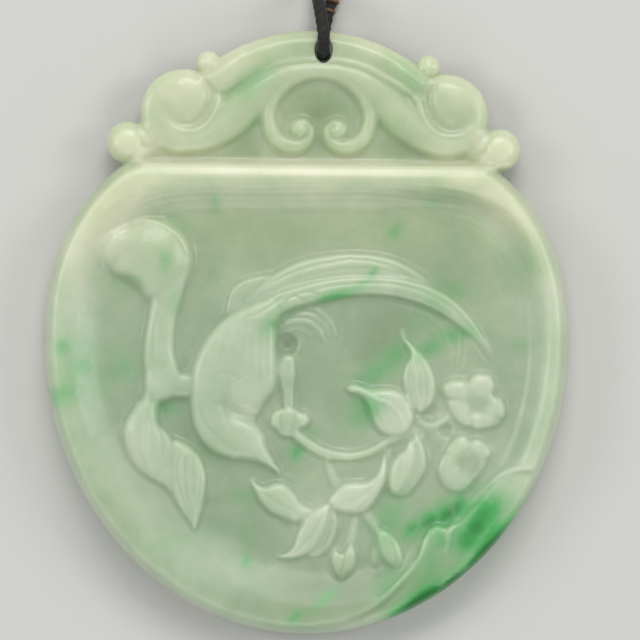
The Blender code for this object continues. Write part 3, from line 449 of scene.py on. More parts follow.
def crown(f):
    """Arch band, scroll, volutes and balls mirrored about the crown's axis, and the two curls."""
    across, up = to_crown(f.x, f.y)
    side = Face(np.abs(across), up, f.z.copy())
    side.pad([(8, 3), (8.4, 7.6), (10.6, 8.4), (12, 7), (12, 4)], 3.9, 0.8, foot=2)
    middle = ARCH_RADIUS - 1.75
    band = [(middle * math.sin(a), ARCH_CENTRE + middle * math.cos(a), 1.75)
        for a in np.radians(np.linspace(-37, 37, 9))]
    side.rib(band, 5, foot=2.9, wall=0.9)
    knob = Face(np.abs(across - KNOB_SHIFT), up, side.z)
    knob.rib([(8.8, 7.9, 1.4), (10.1, 7.5, 1.6), KNOB], [5, 4.95, 4.95], foot=2.9, wall=0.85, soft=0.4)
    side.dome(16.4, 0.8, 2.4, 4.6, foot=2.5, soft=0.3)
    around = np.radians(np.arange(0, 360, 30))
    x, y, radius = LOBE
    side.pad(np.column_stack([x + radius * np.cos(around), y + radius * np.sin(around)]), 4.95, 1.5,
        foot=2.6, per=3, wall=0.8)
    side.rib([(15.6, 1.5, 1.7), (17.1, 0.5, 1.95), BALL], [4.7, 4.75, 4.85], foot=2.5, wall=0.9, soft=0.4)
    side.dome(BALL[0] - 0.3, BALL[1] - 0.35, 1.9, 5.15, foot=4.5, wall=0.3, soft=0.35)
    curls = Face(np.abs(across - CURL_SHIFT), up, side.z)
    scroll = [(-3.6, 7.4, 1.3), (0, 7.95, 1.15), (3.6, 7.4, 1.3), (6.2, 5.5, 1.9), (8.4, 3.3, 2.2),
        (10.5, 1.5, 1.75), (12.7, 0.7, 1.4), (14.6, 1.2, 1.3), (15.9, 2.9, 1.2), (15.8, 4.6, 1.1)]
    curls.rib(scroll, [5.1, 5.1, 5.15, 5.2, 5.2, 5.15, 5.05, 4.95], foot=2.8, wall=0.65)
    curls.dome(13, 5, 2.3, 5.2, foot=4.5, wall=0.05, soft=0.5)
    groove = [(15.3, 4.4, 0.6), (14.8, 3.2, 0.8), (14, 2.55, 0.85), (13, 2.35, 0.9), (12, 2.7, 0.9),
        (11.3, 3.5, 0.85), (10.9, 4.6, 0.8), (10.9, 5.6, 0.75), (11.3, 6.6, 0.5)]
    curls.cut(groove, [0, 0.12, 0.25, 0.32, 0.35, 0.35, 0.2])
    lip = [(-3.9, 8.5, 0.32), (0, 9, 0.32), (3.9, 8.5, 0.32), (6.6, 7.2, 0.36), (8.7, 6, 0.38),
        (9.9, 4.95, 0.36), (10.3, 3.8, 0.34), (11.1, 2.6, 0.36), (12.1, 1.85, 0.36), (13.2, 1.65, 0.36),
        (14.3, 1.85, 0.36), (15.2, 2.6, 0.3)]
    curls.cut(lip, [-0.3, -0.3, -0.32, -0.36, -0.36, -0.3, -0.2, -0.05])
    curl = [(0, 7.95, 1.1), (2.2, 7.45, 1.15), (3.9, 6.15, 1.05), (4.9, 4.4, 0.95), (5, 2.6, 0.95),
        (4.35, 1.15, 1), (3.1, 0.4, 1.05), (1.9, 0.5, 1), (1.1, 1.2, 0.9), (0.95, 2.1, 0.8)]
    curls.rib(curl, [5.05, 5.05, 5, 5, 4.95, 4.9, 4.8], foot=2.7, wall=0.6)
    curls.dome(1.75, 2, 1.45, 4.95, foot=2.8, wall=0.6)
    curls.cut([(3, 1.75, 0.2), (2.5, 1.25, 0.3), (1.8, 1.1, 0.3), (1.25, 1.5, 0.3), (1.2, 2.2, 0.3),
        (1.7, 2.6, 0.25), (2.1, 2.3, 0.2)], 0.2)
    curls.cut([(4.35, 5.1, 0.2), (4.15, 3.5, 0.25), (4.1, 2.4, 0.28), (3.6, 1.5, 0.28), (2.7, 1, 0.28)],
        -0.15)
    f.z = np.where(f.y > BAR_TOP - 1.2, higher(f.z, curls.z, 0.05), f.z)


def round_edges(f):
    """The outline's round edge and the cord hole's softer mouth."""
    high = ease(f.y, BAR_TOP - 1.5, BAR_TOP + 0.5)     # 0 on the body, 1 on the crown
    wall = 1.9 + 0.9 * high                            # where the upright side gives way to the curve
    depth = edge_depth(f.x, f.y)
    f.z = lower(f.z, wall + (7.2 - 1.0 * high - wall) * quarter(depth / (2.5 - 0.9 * high)), 0.25)
    bevel = 3.3 + 1.05 * quarter(depth / 0.45) + 0.65 * np.clip(depth / 1.05, 0, 1)
    bevel += 4 * np.clip(depth - 1.05, 0, 1)
    f.z = np.where(high > 0, lower(f.z, bevel + 2 * (1 - high), 0.06), f.z)
    f.z = lower(f.z, 3.3 + 3.0 * quarter(hole_depth(f.x, f.y) / 0.6), 0.12)


def carved_height(x, y):
    """The carved face's height over plan points that lie within the outline."""
    f = Face(x, y, np.full(len(x), -9.0))     # the figures rise from well under the stone
    for figure in (left_stem, branch, bird, leg, leaves, blossoms):
        figure(f)
    ground = dish(x, y)
    foot_line = 0.03 * np.exp(-(np.maximum(f.clear, 0) / 0.5)**2)
    f.z = higher(ground - foot_line * (1 - ease(ground, 4.6, 5.6)), f.z, 0.15)
    f.hollow(-1.95, -1.15, 1.05, 0.9)                  # under the bird's crest
    f.hollow(13.9, -9.7, 0.65, 0.6)                    # between the blossoms' twigs
    f.hollow(12.4, -8.1, 0.9, 0.4)
    f.hollow(-13.6, -7.5, 1.5, 0.12, stretch=1.3)      # between the pods and the bird
    hill(f)
    crown(f)
    round_edges(f)
    return f.z


# the cuts: half width, depth, and the points along each; a negative depth raises a thread
STROKES = [
    (0.3, 0.05, (-6.7, 0.2), (-7.2, -1.6), (-7.4, -3.2)),
    (0.3, 0.05, (-6, 0.6), (-6.35, -1.4), (-6.4, -3.6)),
    (0.3, 0.05, (-5.2, 0.8), (-5.45, -1.8), (-5.4, -4.6)),
    (0.3, 0.07, (-4.5, 0.9), (-4.65, -2), (-4.6, -5.2)),
    (0.28, 0.06, (-3.9, 0.8), (-4, -2), (-3.9, -4.8)),
    (0.3, 0.05, (-7.5, 0.2), (-8.2, -1.2), (-8.6, -2.6)),
    (0.28, 0.04, (-6.4, -0.4), (-7.4, -1.6), (-8, -2.7)),
    (0.22, 0.09, (-9, -4.25), (-8.15, -4.05), (-7.3, -4.25)),
    (0.2, 0.09, (-7.65, -4.6), (-7.15, -4.4), (-6.65, -4.2)),
    (0.2, 0.09, (-7.3, -5.05), (-6.8, -4.7), (-6.2, -4.55)),
    (0.2, 0.09, (-6.9, -5.5), (-6.35, -5.1), (-5.85, -5)),
    (0.4, 0.08, (-10.7, -7.4), (-9.9, -9.2), (-8.6, -10.6), (-7, -11.6)),
    (0.2, 0.12, (-4.6, -12.3), (-3.8, -12.7), (-3.1, -13.2)),
    (0.22, 0.05, (-7.6, 1.8), (-7.45, 3.2), (-7, 4.4)),
    (0.22, 0.05, (-7, 2.4), (-6.8, 3.6), (-6.2, 4.8)),
    (0.22, 0.05, (-6.3, 2.8), (-6, 3.9), (-5.3, 5.1)),
    (0.22, 0.05, (-5.5, 3.1), (-5.1, 4.2), (-4.3, 5.3)),
    (0.3, 0.1, (-5.9, 1.6), (-4.6, 2), (-3.2, 2.9), (-1.6, 3.7), (0.4, 4.2), (3, 4.75), (6, 4.95), (9, 4.8),
     (12, 4), (14.6, 2.5), (16.6, 0.4)),
    (0.25, 0.08, (1, 3.2), (3.6, 3.95), (6.4, 4.2), (9.4, 3.95), (12.2, 3.1), (14.6, 1.7)),
    (0.22, 0.13, (-2.2, 3), (-1.5, 3.5), (-0.9, 3.55), (0, 3.2)),
    (0.22, 0.1, (-1, 3.8), (0.2, 4), (1.2, 3.9)),
    (0.22, 0.1, (-3.6, 3.2), (-2.8, 3.4), (-2, 3.9)),
    (0.3, 0.1, (-3.6, 4.9), (-1.2, 6.1), (1.6, 6.9), (4.8, 7.3), (8, 6.8), (10.4, 5.6)),
    (0.3, 0.08, (-2.6, 4.6), (-0.4, 5.5), (2.4, 6.2), (5.6, 6.45), (8.6, 6.1), (10.8, 5.3)),
    (0.22, 0.08, (1.9, 6.75), (3.2, 7.2), (4.6, 7.45)),
    (0.28, -0.12, (6.2, -6.25), (7.1, -6.75), (8.1, -7), (8.9, -7.6), (9.5, -8.5), (9.8, -9.4)),
    (0.25, 0.08, (6.6, -7), (7, -7.8), (7.5, -8.9)),
    (0.25, 0.06, (7.6, -7.2), (8, -8.2), (8.5, -9.5)),
    (0.25, -0.1, (10.6, -2.2), (10.9, -3.8), (11, -5.6), (11.3, -7.3)),
    (0.25, 0.08, (10.4, -3), (10.2, -4.6), (10.5, -6.4)),
    (0.25, 0.1, (11.2, -2.6), (11.9, -4.2), (12, -6.2), (11.8, -7.3)),
    (0.25, -0.1, (3.2, -17.35), (4.2, -17.5), (5.1, -17.15), (6, -16.3)),
    (0.28, 0.07, (3.4, -16.8), (4.8, -16.6), (6.2, -15.7), (7.2, -14.5)),
    (0.28, 0.1, (-4.6, -15.7), (-3.4, -16.5), (-2.4, -17.2), (-1.2, -17.8)),
    (0.3, 0.1, (1.6, -18.2), (0.8, -19.6), (-0.2, -21), (-1.4, -22)),
    (0.22, 0.1, (2.6, -18.8), (2.2, -20.2), (1.6, -21.4)),
    (0.25, 0.06, (9.4, -12.6), (9.3, -13.8), (9, -15.2)),
    (0.22, 0.08, (3.9, -22), (3.7, -23), (3.3, -24)),
    (0.22, 0.08, (8.3, -20.6), (8.8, -21.8), (8.9, -22.9)),
    (0.25, 0.1, (-15.1, 1.2), (-15.3, -0.3), (-15.2, -2)),
    (0.3, 0.06, (-14.4, 1.4), (-14.4, -0.6), (-14.2, -2.4)),
    (0.3, 0.05, (-16.3, -8), (-16.7, -9.8), (-16.6, -11.8), (-15.8, -13.6)),
    (0.3, 0.06, (-15.5, -8.4), (-15.5, -10.2), (-15.3, -12), (-14.8, -13.8)),
    (0.3, 0.05, (-14.7, -9.6), (-14.4, -11), (-14.4, -12.6)),
    (0.3, 0.05, (-17.4, -9), (-17.7, -10.8), (-17.2, -12.6)),
    (0.28, 0.12, (-12.6, -12), (-12.9, -14), (-12.4, -16.2), (-11.6, -18.4)),
    (0.28, 0.1, (-12, -12.4), (-12.1, -14.6), (-11.8, -16.6), (-11.3, -18.6)),
    (0.28, 0.08, (-11.3, -12.3), (-11.2, -14.2), (-11.2, -16.2)),
    (0.25, 0.08, (-10.7, -12.9), (-10.5, -14.4), (-10.7, -16.2)),
    (0.7, 0.06, (-13, 9.6), (-12.4, 8.2), (-12.35, 6.8), (-12.8, 5.5), (-13.6, 4.3)),
    (0.35, -0.16, (-17.4, 11), (-16.2, 11.25), (-14.9, 11), (-13.6, 10.35), (-12.5, 9.3), (-11.9, 8)),
    (0.25, -0.08, (14.2, -1), (14.6, -2.4), (14.4, -3.6)),
    (0.25, -0.1, (15.2, 0.1), (15.3, -1.5), (15, -3.1)),
    (0.25, -0.1, (15.8, -0.8), (15.9, -2.3), (15.5, -3.6)),
    (0.25, -0.08, (13.2, 0.9), (13.9, -0.3), (14.1, -1.6)),
    (0.22, -0.1, (16.6, -1), (17.2, -2), (18.1, -3.1)),
    (0.25, -0.06, (10.2, 2.4), (11.8, 1.8), (13, 0.8)),
    (0.28, -0.18, (-2.5, 1.25), (-1.4, 2.1), (0.1, 2.5), (1.35, 2.1), (2.35, 1.1), (3, -0.25)),
    (0.28, -0.15, (-2.15, 0.95), (-0.8, 1.2), (0.5, 0.9), (1.5, 0), (1.9, -1.1)),
    (0.25, -0.06, (-2.6, 1.7), (-1, 1.75), (0.6, 1.6), (1.9, 0.7), (2.5, -0.6)),
    (0.28, -0.09, (-1.7, 0.5), (-0.6, 0.4), (0.35, -0.25), (0.6, -1.2)),
    (0.22, -0.08, (-2.8, -14.2), (-1.9, -14.3), (-1, -15)),
    (0.2, -0.08, (9.7, -22.9), (10.4, -23.1), (11, -22.7)),
]
RIPPLE_PITCH = 0.62
RIPPLE_HEIGHT = 0.014


def engraving(x, y):
    """The fine cuts made after the forms: feather barbs, leaf veins, pod ribs and the rim's long strokes."""
    f = Face(x, y, np.zeros(len(x)))
    for half, depth, *points in STROKES:
        ends = [0.5] + [1.0] * (len(points) - 2) + [0.5]
        f.cut([(a, b, half * e) for (a, b), e in zip(points, ends)], depth)
    inset, _ = field_inset(x, y)
    band = ease(inset, 1.9, 2.3) * (1 - ease(inset, 4.6, 6.2)) * ease(y, -4, 8)
    f.z += RIPPLE_HEIGHT * band * np.sin(2 * math.pi * (inset + 0.12 * np.sin(0.35 * x)) / RIPPLE_PITCH)
    return f.z


def patches(x, y, drops):
    """Soft-edged patches (x, y, long, wide, degrees, strength), the strongest winning at each point."""
    cover = np.zeros(len(x))
    for at_x, at_y, long, wide, degrees, strength in drops:
        a = math.radians(degrees)
        u = (x - at_x) * math.cos(a) + (y - at_y) * math.sin(a)
        v = (y - at_y) * math.cos(a) - (x - at_x) * math.sin(a)
        cover = np.maximum(cover, strength * np.exp(-(u / long)**2 - (v / wide)**2))
    return cover


EMERALD = [(17.4, -18.5, 3.6, 1.8, 50, 1.4), (16, -20.6, 2.6, 2, 50, 1.4),
    (18.4, -20.6, 3.4, 1.7, 50, 1.35), (14.5, -18, 3.2, 1.3, 38, 1.5), (12.3, -19.1, 2.4, 1.1, 36, 1.45),
    (16.9, -19.4, 2.4, 1.5, 50, 1.6), (18.1, -22.1, 5.8, 1.4, 48, 2.3), (11.4, -26.9, 4.8, 1.3, 35, 2.2),
    (14.8, -25.2, 3.6, 1.4, 42, 2.3), (10.7, -19.7, 1.8, 0.9, 40, 1.3), (13.4, -22.2, 5.4, 2.8, 52, 0.6),
    (13.2, -20.9, 1.8, 1.3, 60, 0.95), (12.2, -23.4, 3.4, 1.8, 48, 0.8), (8.4, -19, 3.2, 1.6, 80, 0.8),
    (8.5, -25, 2.6, 1.5, 60, 0.6), (15.6, -24, 4, 1.6, 48, 1.2), (-3.3, 0.9, 1.6, 1, 50, 0.65),
    (-1.9, 1.9, 1.6, 0.6, 20, 0.4), (3.2, 3.75, 2.8, 0.6, 14, 1), (6.6, 5.8, 0.9, 0.4, 60, 1),
    (5.6, 4.9, 1.6, 0.4, 30, 0.6), (12.5, -1.6, 1.8, 0.9, 20, 1), (9, -2.6, 2.6, 1.2, 50, 0.85),
    (7, -4.2, 2.6, 1.2, 30, 0.65), (6, -7.8, 2, 1.4, 50, 0.9), (14.5, -0.5, 3, 0.9, 15, 0.7),
    (12.5, 2.5, 3.5, 1.5, 60, 0.45), (14.5, 4, 2.5, 1.2, 0, 0.35), (22, -1.2, 1.2, 0.6, 15, 0.6),
    (21.5, 7, 2.5, 2, 70, 0.3), (-24, -6.2, 2.4, 1.3, 20, 0.95), (-22.1, -3.4, 1.5, 1.2, 50, 0.95),
    (-24.2, -1.6, 1, 1.1, 0, 0.65), (-22.8, -3.5, 4, 2.4, 80, 0.45), (-21, -5.5, 2.4, 1.4, 60, 0.45),
    (-18, -3.5, 1.8, 1.8, 0, 0.5), (-17.8, 5, 2.2, 1.2, 0, 0.35), (-13.8, -7.7, 1.3, 0.8, 0, 0.8),
    (-14.1, 7, 0.7, 1.6, 0, 0.5), (-13.2, 2.8, 0.9, 1.2, 0, 0.35), (-9, 13, 0.7, 1, 0, 0.6),
    (-12.5, 10.9, 1.4, 0.7, -30, 0.4), (-0.9, -12, 1, 0.7, 60, 0.9), (0.5, -10.2, 0.8, 0.7, 0, 0.45),
    (-5.9, -16.4, 1.1, 0.9, 0, 0.5), (-6.05, -22.9, 0.55, 0.8, 0, 0.85), (-6, -20.5, 0.8, 1.6, 0, 0.3),
    (-12.5, -20.5, 4, 1.2, 10, 0.25), (1.9, -26.5, 1.6, 0.6, 40, 0.9), (-1.2, -28.3, 1, 0.5, 40, 0.8),
    (-1, -29.6, 3, 0.5, 0, 0.3), (-9, -12, 3, 1.2, -20, 0.3), (-5.4, 24.9, 3.6, 1.3, 35, 0.5),
    (-5.2, 20.8, 1.3, 0.8, 55, 0.5), (9, 9.9, 1, 0.7, 45, 0.7), (12.5, 13, 1.2, 0.9, 0, 0.3),
    (10.2, 25.5, 2.2, 1.2, -50, 0.35), (8, 20.5, 1.2, 1.8, 90, 0.25)]
# cream patches: partly the stone's own cream at the crown and rims, partly painted light that brightens the
# coves under the bar's ends and the bar's top, standing in for the light and reflection that fall there
CREAM_AND_PAINTED_LIGHT = [(-19.4, 12.4, 5.5, 3, 50, 0.75), (19.5, 12.2, 5, 2.8, -50, 0.55), (-16.5, 15.2, 3.6, 1.2, 5, 0.5),
    (16, 15.2, 3.6, 1.2, -5, 0.5), (0, 13.6, 20, 2, 0, 0.22), (1, 16.3, 22, 1, -0.6, 0.6),
    (-22.5, 8, 4, 2, 75, 0.4), (22.3, 8, 4, 2, -75, 0.25), (-13, 11.5, 4, 2, 0, 0.15),
    (-12.5, 18.2, 6, 1, 0, 0.2), (15, 18.4, 5, 1, 0, 0.1), (-18.2, 18.8, 3.4, 3, 0, 0.5),
    (19.6, 18.2, 3.4, 3, 0, 0.5), (-14, 24, 5, 4, 0, 0.15), (-23, 3, 8, 1.8, 90, 0.3),
    (23, 2, 8, 1.8, 90, 0.2), (20.5, -15.2, 3.4, 1.7, 38, 0.45), (13.5, -8.5, 2, 1.5, -50, 0.25),
    (19, -12, 2.4, 1.5, 60, 0.15), (3, -17, 5, 3, 0, 0.15), (-8, 5, 4, 2, 20, 0.1), (-6, -4, 2, 5, 0, 0.06),
    (8, -9, 3, 2, 0, 0.12)]
# darker patches: partly clearer stone, partly painted shade in the crown's sunk floor, in the hollow under
# the bird's crest and along the lower cove
CLEAR_AND_PAINTED_SHADE = [(2, -26.4, 9, 2.8, 4, 0.5), (6, -24, 3, 1.6, 20, 0.3), (0, -29, 8, 1.6, 0, 0.25),
    (-20, -18, 6, 2, -52, 0.28), (12, -25.5, 5, 2.4, 40, 0.3), (7, -24.2, 3, 1.6, 20, 0.35),
    (1, 23.4, 3.6, 1.6, 0, 0.32), (9.6, 18.8, 3, 1.8, -10, 0.38), (-6.2, 18.6, 2.2, 1.8, 10, 0.38),
    (2, 20.5, 13, 5, 0, 0.16), (1.2, 21.6, 3, 2.4, 0, 0.5), (0.7, 19.4, 5.2, 2.2, 0, 0.34),
    (10.5, 24, 6.5, 2.2, -35, 0.28), (8.5, 0, 4, 2, 40, 0.2), (-1.95, -1.15, 0.9, 0.9, 0, 0.25),
    (-9, -11, 4, 3, 0, 0.22), (-15.8, 8.5, 2.8, 2.8, 0, 0.22), (-24, -5, 6, 1.6, 90, 0.16),
    (14, 4, 4, 2.4, 60, 0.1), (-20.5, -9, 3, 1.6, 90, 0.08), (-2, 28, 5, 1.6, 0, 0.12)]


def averaged(values, ends, rounds):
    """Each value drawn towards its neighbours' mean, over and over."""
    count = np.bincount(ends.ravel())
    for _ in range(rounds):
        total = np.bincount(ends[:, 0], values[ends[:, 1]], len(count))
        total += np.bincount(ends[:, 1], values[ends[:, 0]], len(count))
        values = 0.5 * (values + total / count)
    return values


def paleness(x, y, z, ends):
    """How pale the stone is coloured: milky in the figures; painted shade darkens the sunk ground, painted
    light lifts the shade in recesses and on the outline's edge, and painted highlights whiten raised edges.
    """
    face = np.maximum(z, 2.5)
    figure = ease(z - dish(x, y), 0.25, 0.8)
    high = ease(y, 15.8, 17.2)
    # painted shade: the lower the face lies, the darker its colour (level); the figures' milkier stone
    # (figure) is the stone's own
    level = np.clip((z - (FIELD - 0.95 * high)) / (RIM - FIELD - 0.35 * high), -0.3, 1)
    tone = 0.3 + 0.24 * level + 0.20 * figure + patches(x, y, CREAM_AND_PAINTED_LIGHT) - patches(x, y, CLEAR_AND_PAINTED_SHADE)
    # painted highlight: faces that stand above their near neighbours are whitened, standing in for the
    # polish's glints along raised edges
    tone += 0.9 * np.clip(face - averaged(face, ends, 5), 0, 0.14)
    # painted light: faces sunk below their surroundings are lightened, cancelling the shade in recesses and
    # at the figures' feet; raised faces are lightened a little as well
    sunk = averaged(face, ends, 30) - face
    tone += np.where(sunk > 0, 1.0, -0.06) * np.clip(sunk, -0.5, 0.5)
    # painted light: the outline's edge and side get a fixed pale colour, a painted glow in place of their
    # shade
    rim = 1 - ease(edge_depth(x, y), 0.3, 1.6)
    return np.clip(tone * (1 - rim) + (0.7 + 0.1 * high) * rim, 0, 1)


def back_height(y):
    return CROWN_BACK * ease(y, *BACK_CUT)


HOLE_LIP = 0.2    # the hole's rounded mouth is this much narrower than the outline's shoulder
POLISH = 3        # rounds of smoothing that stand for the last polish


def plan_depth(x, y):
    """Distance inside the stone, from the outline or from the cord hole, whichever is nearer."""
    return np.minimum(edge_depth(x, y), hole_depth(x, y) + HOLE_LIP)


def to_depth(x, y, depth):
    """Plan points slid inwards or outwards until each lies at its own depth."""
    e = 0.02
    for _ in range(6):
        gx = plan_depth(x + e, y) - plan_depth(x - e, y)
        gy = plan_depth(x, y + e) - plan_depth(x, y - e)
        size = np.maximum(np.hypot(gx, gy), 1e-9)
        gap = depth - plan_depth(x, y)
        x, y = x + gx / size * gap, y + gy / size * gap
    return x, y


def only(kind, geom):
    return [g for g in geom if isinstance(g, kind)]


def plan_of(verts):
    return np.array([v.co.x for v in verts]), np.array([v.co.y for v in verts])


def place(verts, x, y, z):
    for v, a, b, c in zip(verts, x, y, z):
        v.co = (a, b, c)


GRID = 0.175               # spacing of the plan points, in millimetres
SHOULDER = 0.5             # outside this depth the rounded edge is built in rings that follow the outline
BACK_CUT = (15.2, 17.6)    # the back rises from the body's level to the crown's between these
stone = bmesh.new()
columns = round(2 * (HALF_WIDTH + 1) / GRID)
rows = round(2 * (LOW_REACH + 3) / GRID)
bmesh.ops.create_grid(stone, x_segments=columns, y_segments=rows, size=1)
verts = list(stone.verts)
x, y = plan_of(verts)
x, y = x * columns * GRID / 2, y * rows * GRID / 2
place(verts, x, y, np.zeros(len(x)))
outside = plan_depth(x, y) < SHOULDER - 0.35 * GRID
bmesh.ops.delete(stone, geom=[v for v, out in zip(verts, outside) if out], context="VERTS")
bmesh.ops.delete(stone, geom=[v for v in stone.verts if not v.link_faces], context="VERTS")
verts = list(stone.verts)
x, y = plan_of(verts)
on_edge = np.array([v.is_boundary for v in verts])
x[on_edge], y[on_edge] = to_depth(x[on_edge], y[on_edge], SHOULDER)
place(verts, x, y, carved_height(x, y))
inner = [v for v, edge in zip(verts, on_edge) if not edge]
for _ in range(POLISH):
    bmesh.ops.smooth_vert(stone, verts=inner, factor=0.5, use_axis_z=True)
x, y = plan_of(verts)
z = np.array([v.co.z for v in verts]) + engraving(x, y)
place(verts, x, y, z)


def open_edges():
    return [e for e in stone.edges if e.is_boundary]


def next_ring(depth, lift=None):
    """Draws the open edges out to a plan depth; they keep to the carved face, or drop to a given lift."""
    ring = only(bmesh.types.BMVert, bmesh.ops.extrude_edge_only(stone, edges=open_edges())["geom"])
    x, y = plan_of(ring)
    drilled = hole_depth(x, y) < edge_depth(x, y)
    high = ease(y, *BACK_CUT)
    if lift is None:
        x, y = to_depth(x, y, np.where(drilled, HOLE_LIP + (SHOULDER - HOLE_LIP) * depth / SHOULDER, depth))
        place(ring, x, y, carved_height(x, y))
    else:
        x, y = to_depth(x, y, np.where(drilled, HOLE_LIP + min(depth, 0.25), depth * (1 - 0.5 * high)))
        lift = np.where(drilled, min(lift, 0.25), lift * (1 - 0.35 * high))
        place(ring, x, y, back_height(y) + lift)


for depth in (0.37, 0.26, 0.17, 0.1, 0.05, 0.015, 0.0):     # over the shoulder to the outline
    next_ring(depth)
# down the side, and round its lower edge to the back
for depth, lift in ((0.0, 1.35), (0.06, 0.8), (0.22, 0.36), (0.45, 0.12), (0.8, 0.0)):
    next_ring(depth, lift)
back = only(bmesh.types.BMFace, bmesh.ops.triangle_fill(stone, edges=open_edges(), use_beauty=True)["geom"])
for level in np.linspace(*BACK_CUT, 9):
    edges = {e for face in back for e in face.edges}
    corners = {v for face in back for v in face.verts}
    back = only(bmesh.types.BMFace, bmesh.ops.bisect_plane(stone, geom=back + list(edges) + list(corners),
        dist=1e-4, plane_co=(0, level, 0), plane_no=(0, 1, 0))["geom"])
corners = list({v for face in back for v in face.verts})
x, y = plan_of(corners)
place(corners, x, y, back_height(y))


def set_inputs(node, **values):
    """Sets a node's own sockets; an underscore stands for the space in a socket's name."""
    for socket, value in values.items():
        node.inputs[socket.replace("_", " ")].default_value = value


class Finish:
    """A material in the making; its patterns read the piece's own coordinates."""

    def __init__(self, name):
        self.material = bpy.data.materials.new(name)
        self.material.use_nodes = True
        self.tree = self.material.node_tree
        self.shader = self.tree.nodes["Principled BSDF"]
        self.place = self.node("TexCoord").outputs["Object"]

    def node(self, kind):
        return self.tree.nodes.new("ShaderNode" + kind)

    def feed(self, socket, value):
        """Gives a socket another node's reading, or a colour or number of its own."""
        if isinstance(value, bpy.types.NodeSocket):
            self.tree.links.new(value, socket)
        else:
            socket.default_value = (*value, 1) if isinstance(value, tuple) else value

    def noise(self, scale, detail, rough, warp=0.0):
        made = self.node("TexNoise")
        set_inputs(made, Scale=scale, Detail=detail, Roughness=rough, Distortion=warp)
        self.feed(made.inputs["Vector"], self.place)
        return made.outputs["Fac"]

    def ramp(self, value, *stops):
        made = self.node("ValToRGB")
        while len(made.color_ramp.elements) < len(stops):
            made.color_ramp.elements.new(0.5)
        for element, (at, colour) in zip(made.color_ramp.elements, stops):
            element.position, element.color = at, (*colour, 1)
        self.feed(made.inputs["Fac"], value)
        return made.outputs["Color"]

    def blend(self, share, a, b, how="MIX"):
        made = self.node("Mix")
        made.data_type, made.blend_type = "RGBA", how
        for name, value in (("Factor", share), ("A", a), ("B", b)):
            self.feed(made.inputs[name], value)
        return made.outputs["Result"]

    def product(self, a, b):
        made = self.node("Math")
        made.operation, made.use_clamp = "MULTIPLY", True
        self.feed(made.inputs[0], a)
        self.feed(made.inputs[1], b)
        return made.outputs["Value"]

    def reading(self, name):
        """The value that the mesh carries under this name."""
        made = self.node("Attribute")
        made.attribute_name = name
        return made.outputs["Fac"]

    def roughen(self, height, strength, distance):
        """Relief too fine for the mesh."""
        made = self.node("Bump")
        set_inputs(made, Strength=strength, Distance=distance)
        self.feed(made.inputs["Height"], height)
        self.feed(self.shader.inputs["Normal"], made.outputs["Normal"])


def finished(name, bm, material):
    """The modelled shape as a smooth piece of one material, its millimetres made metres."""
    bmesh.ops.recalc_face_normals(bm, faces=bm.faces[:])
    bmesh.ops.scale(bm, vec=(MM, MM, MM), verts=bm.verts[:])
    mesh = bpy.data.meshes.new(name)
    bm.to_mesh(mesh)
    bm.free()
    mesh.shade_smooth()
    mesh.materials.append(material)
    return placed(name, mesh)


jade = Finish("polished_jade")
plaque = finished("carved_jade", stone, jade.material)
mesh = plaque.data
x, y, z = np.array([v.co for v in mesh.vertices]).T / MM
sink = np.maximum(5.0 - z, 0)     # the veins lean and thin out as they go down into the stone
green = patches(x + 0.5 * sink, y - 0.35 * sink, EMERALD) * (0.2 + 0.8 * ease(z, 0.0, 4.6))
pale = paleness(x, y, z, np.array([edge.vertices for edge in mesh.edges]))
for name, values in (("green", green), ("warm", ease(y, 0, 14)), ("pale", pale)):
    mesh.attributes.new(name, "FLOAT", "POINT").data.foreach_set("value", values.astype(np.float32))

# its colours: a milky or clear ground that also carries painted light and shade, clouded and mottled, under
# ragged patches of emerald
ground = jade.ramp(jade.reading("pale"), (0.0, (0.24, 0.31, 0.19)), (0.25, (0.35, 0.42, 0.30)),
    (0.6, (0.47, 0.53, 0.41)), (0.85, (0.565, 0.60, 0.485)), (1.0, (0.645, 0.66, 0.545)))
clouds = jade.ramp(jade.noise(95, 5, 0.6, 0.6), (0.3, (0.38, 0.46, 0.37)), (0.72, (0.62, 0.62, 0.56)))
mottle = jade.ramp(jade.noise(420, 6, 0.65, 0.4), (0.3, (0.40, 0.45, 0.40)), (0.7, (0.60, 0.58, 0.58)))
ground = jade.blend(0.4, jade.blend(0.65, ground, clouds, "OVERLAY"), mottle, "OVERLAY")
ground = jade.blend(jade.reading("warm"), jade.blend(1.0, ground, (0.985, 1.0, 1.035), "MULTIPLY"),
    jade.blend(1.0, ground, (1.02, 1.0, 0.96), "MULTIPLY"))
flecks = jade.ramp(jade.noise(240, 7, 0.65, 0.8), (0.3, (0.35,) * 3), (0.7, (1.0,) * 3))
ragged = jade.product(jade.reading("green"), flecks)
deep = jade.ramp(jade.product(jade.reading("green"), 0.5), (0.55, (0,) * 3), (0.95, (1,) * 3))
emerald = jade.blend(deep, (0.09, 0.44, 0.135), (0.005, 0.17, 0.02))
jade.feed(jade.shader.inputs["Base Color"], jade.blend(ragged, ground, emerald))
set_inputs(jade.shader, Roughness=0.38, Coat_Weight=0.25, Coat_Roughness=0.12, Subsurface_Weight=0.9,
    Subsurface_Radius=(0.9, 1.0, 0.75), Subsurface_Scale=0.0035)
jade.roughen(jade.noise(900, 4, 0.55), 0.35, 0.00006)
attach(plaque, "root")
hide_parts("jade_plaque")


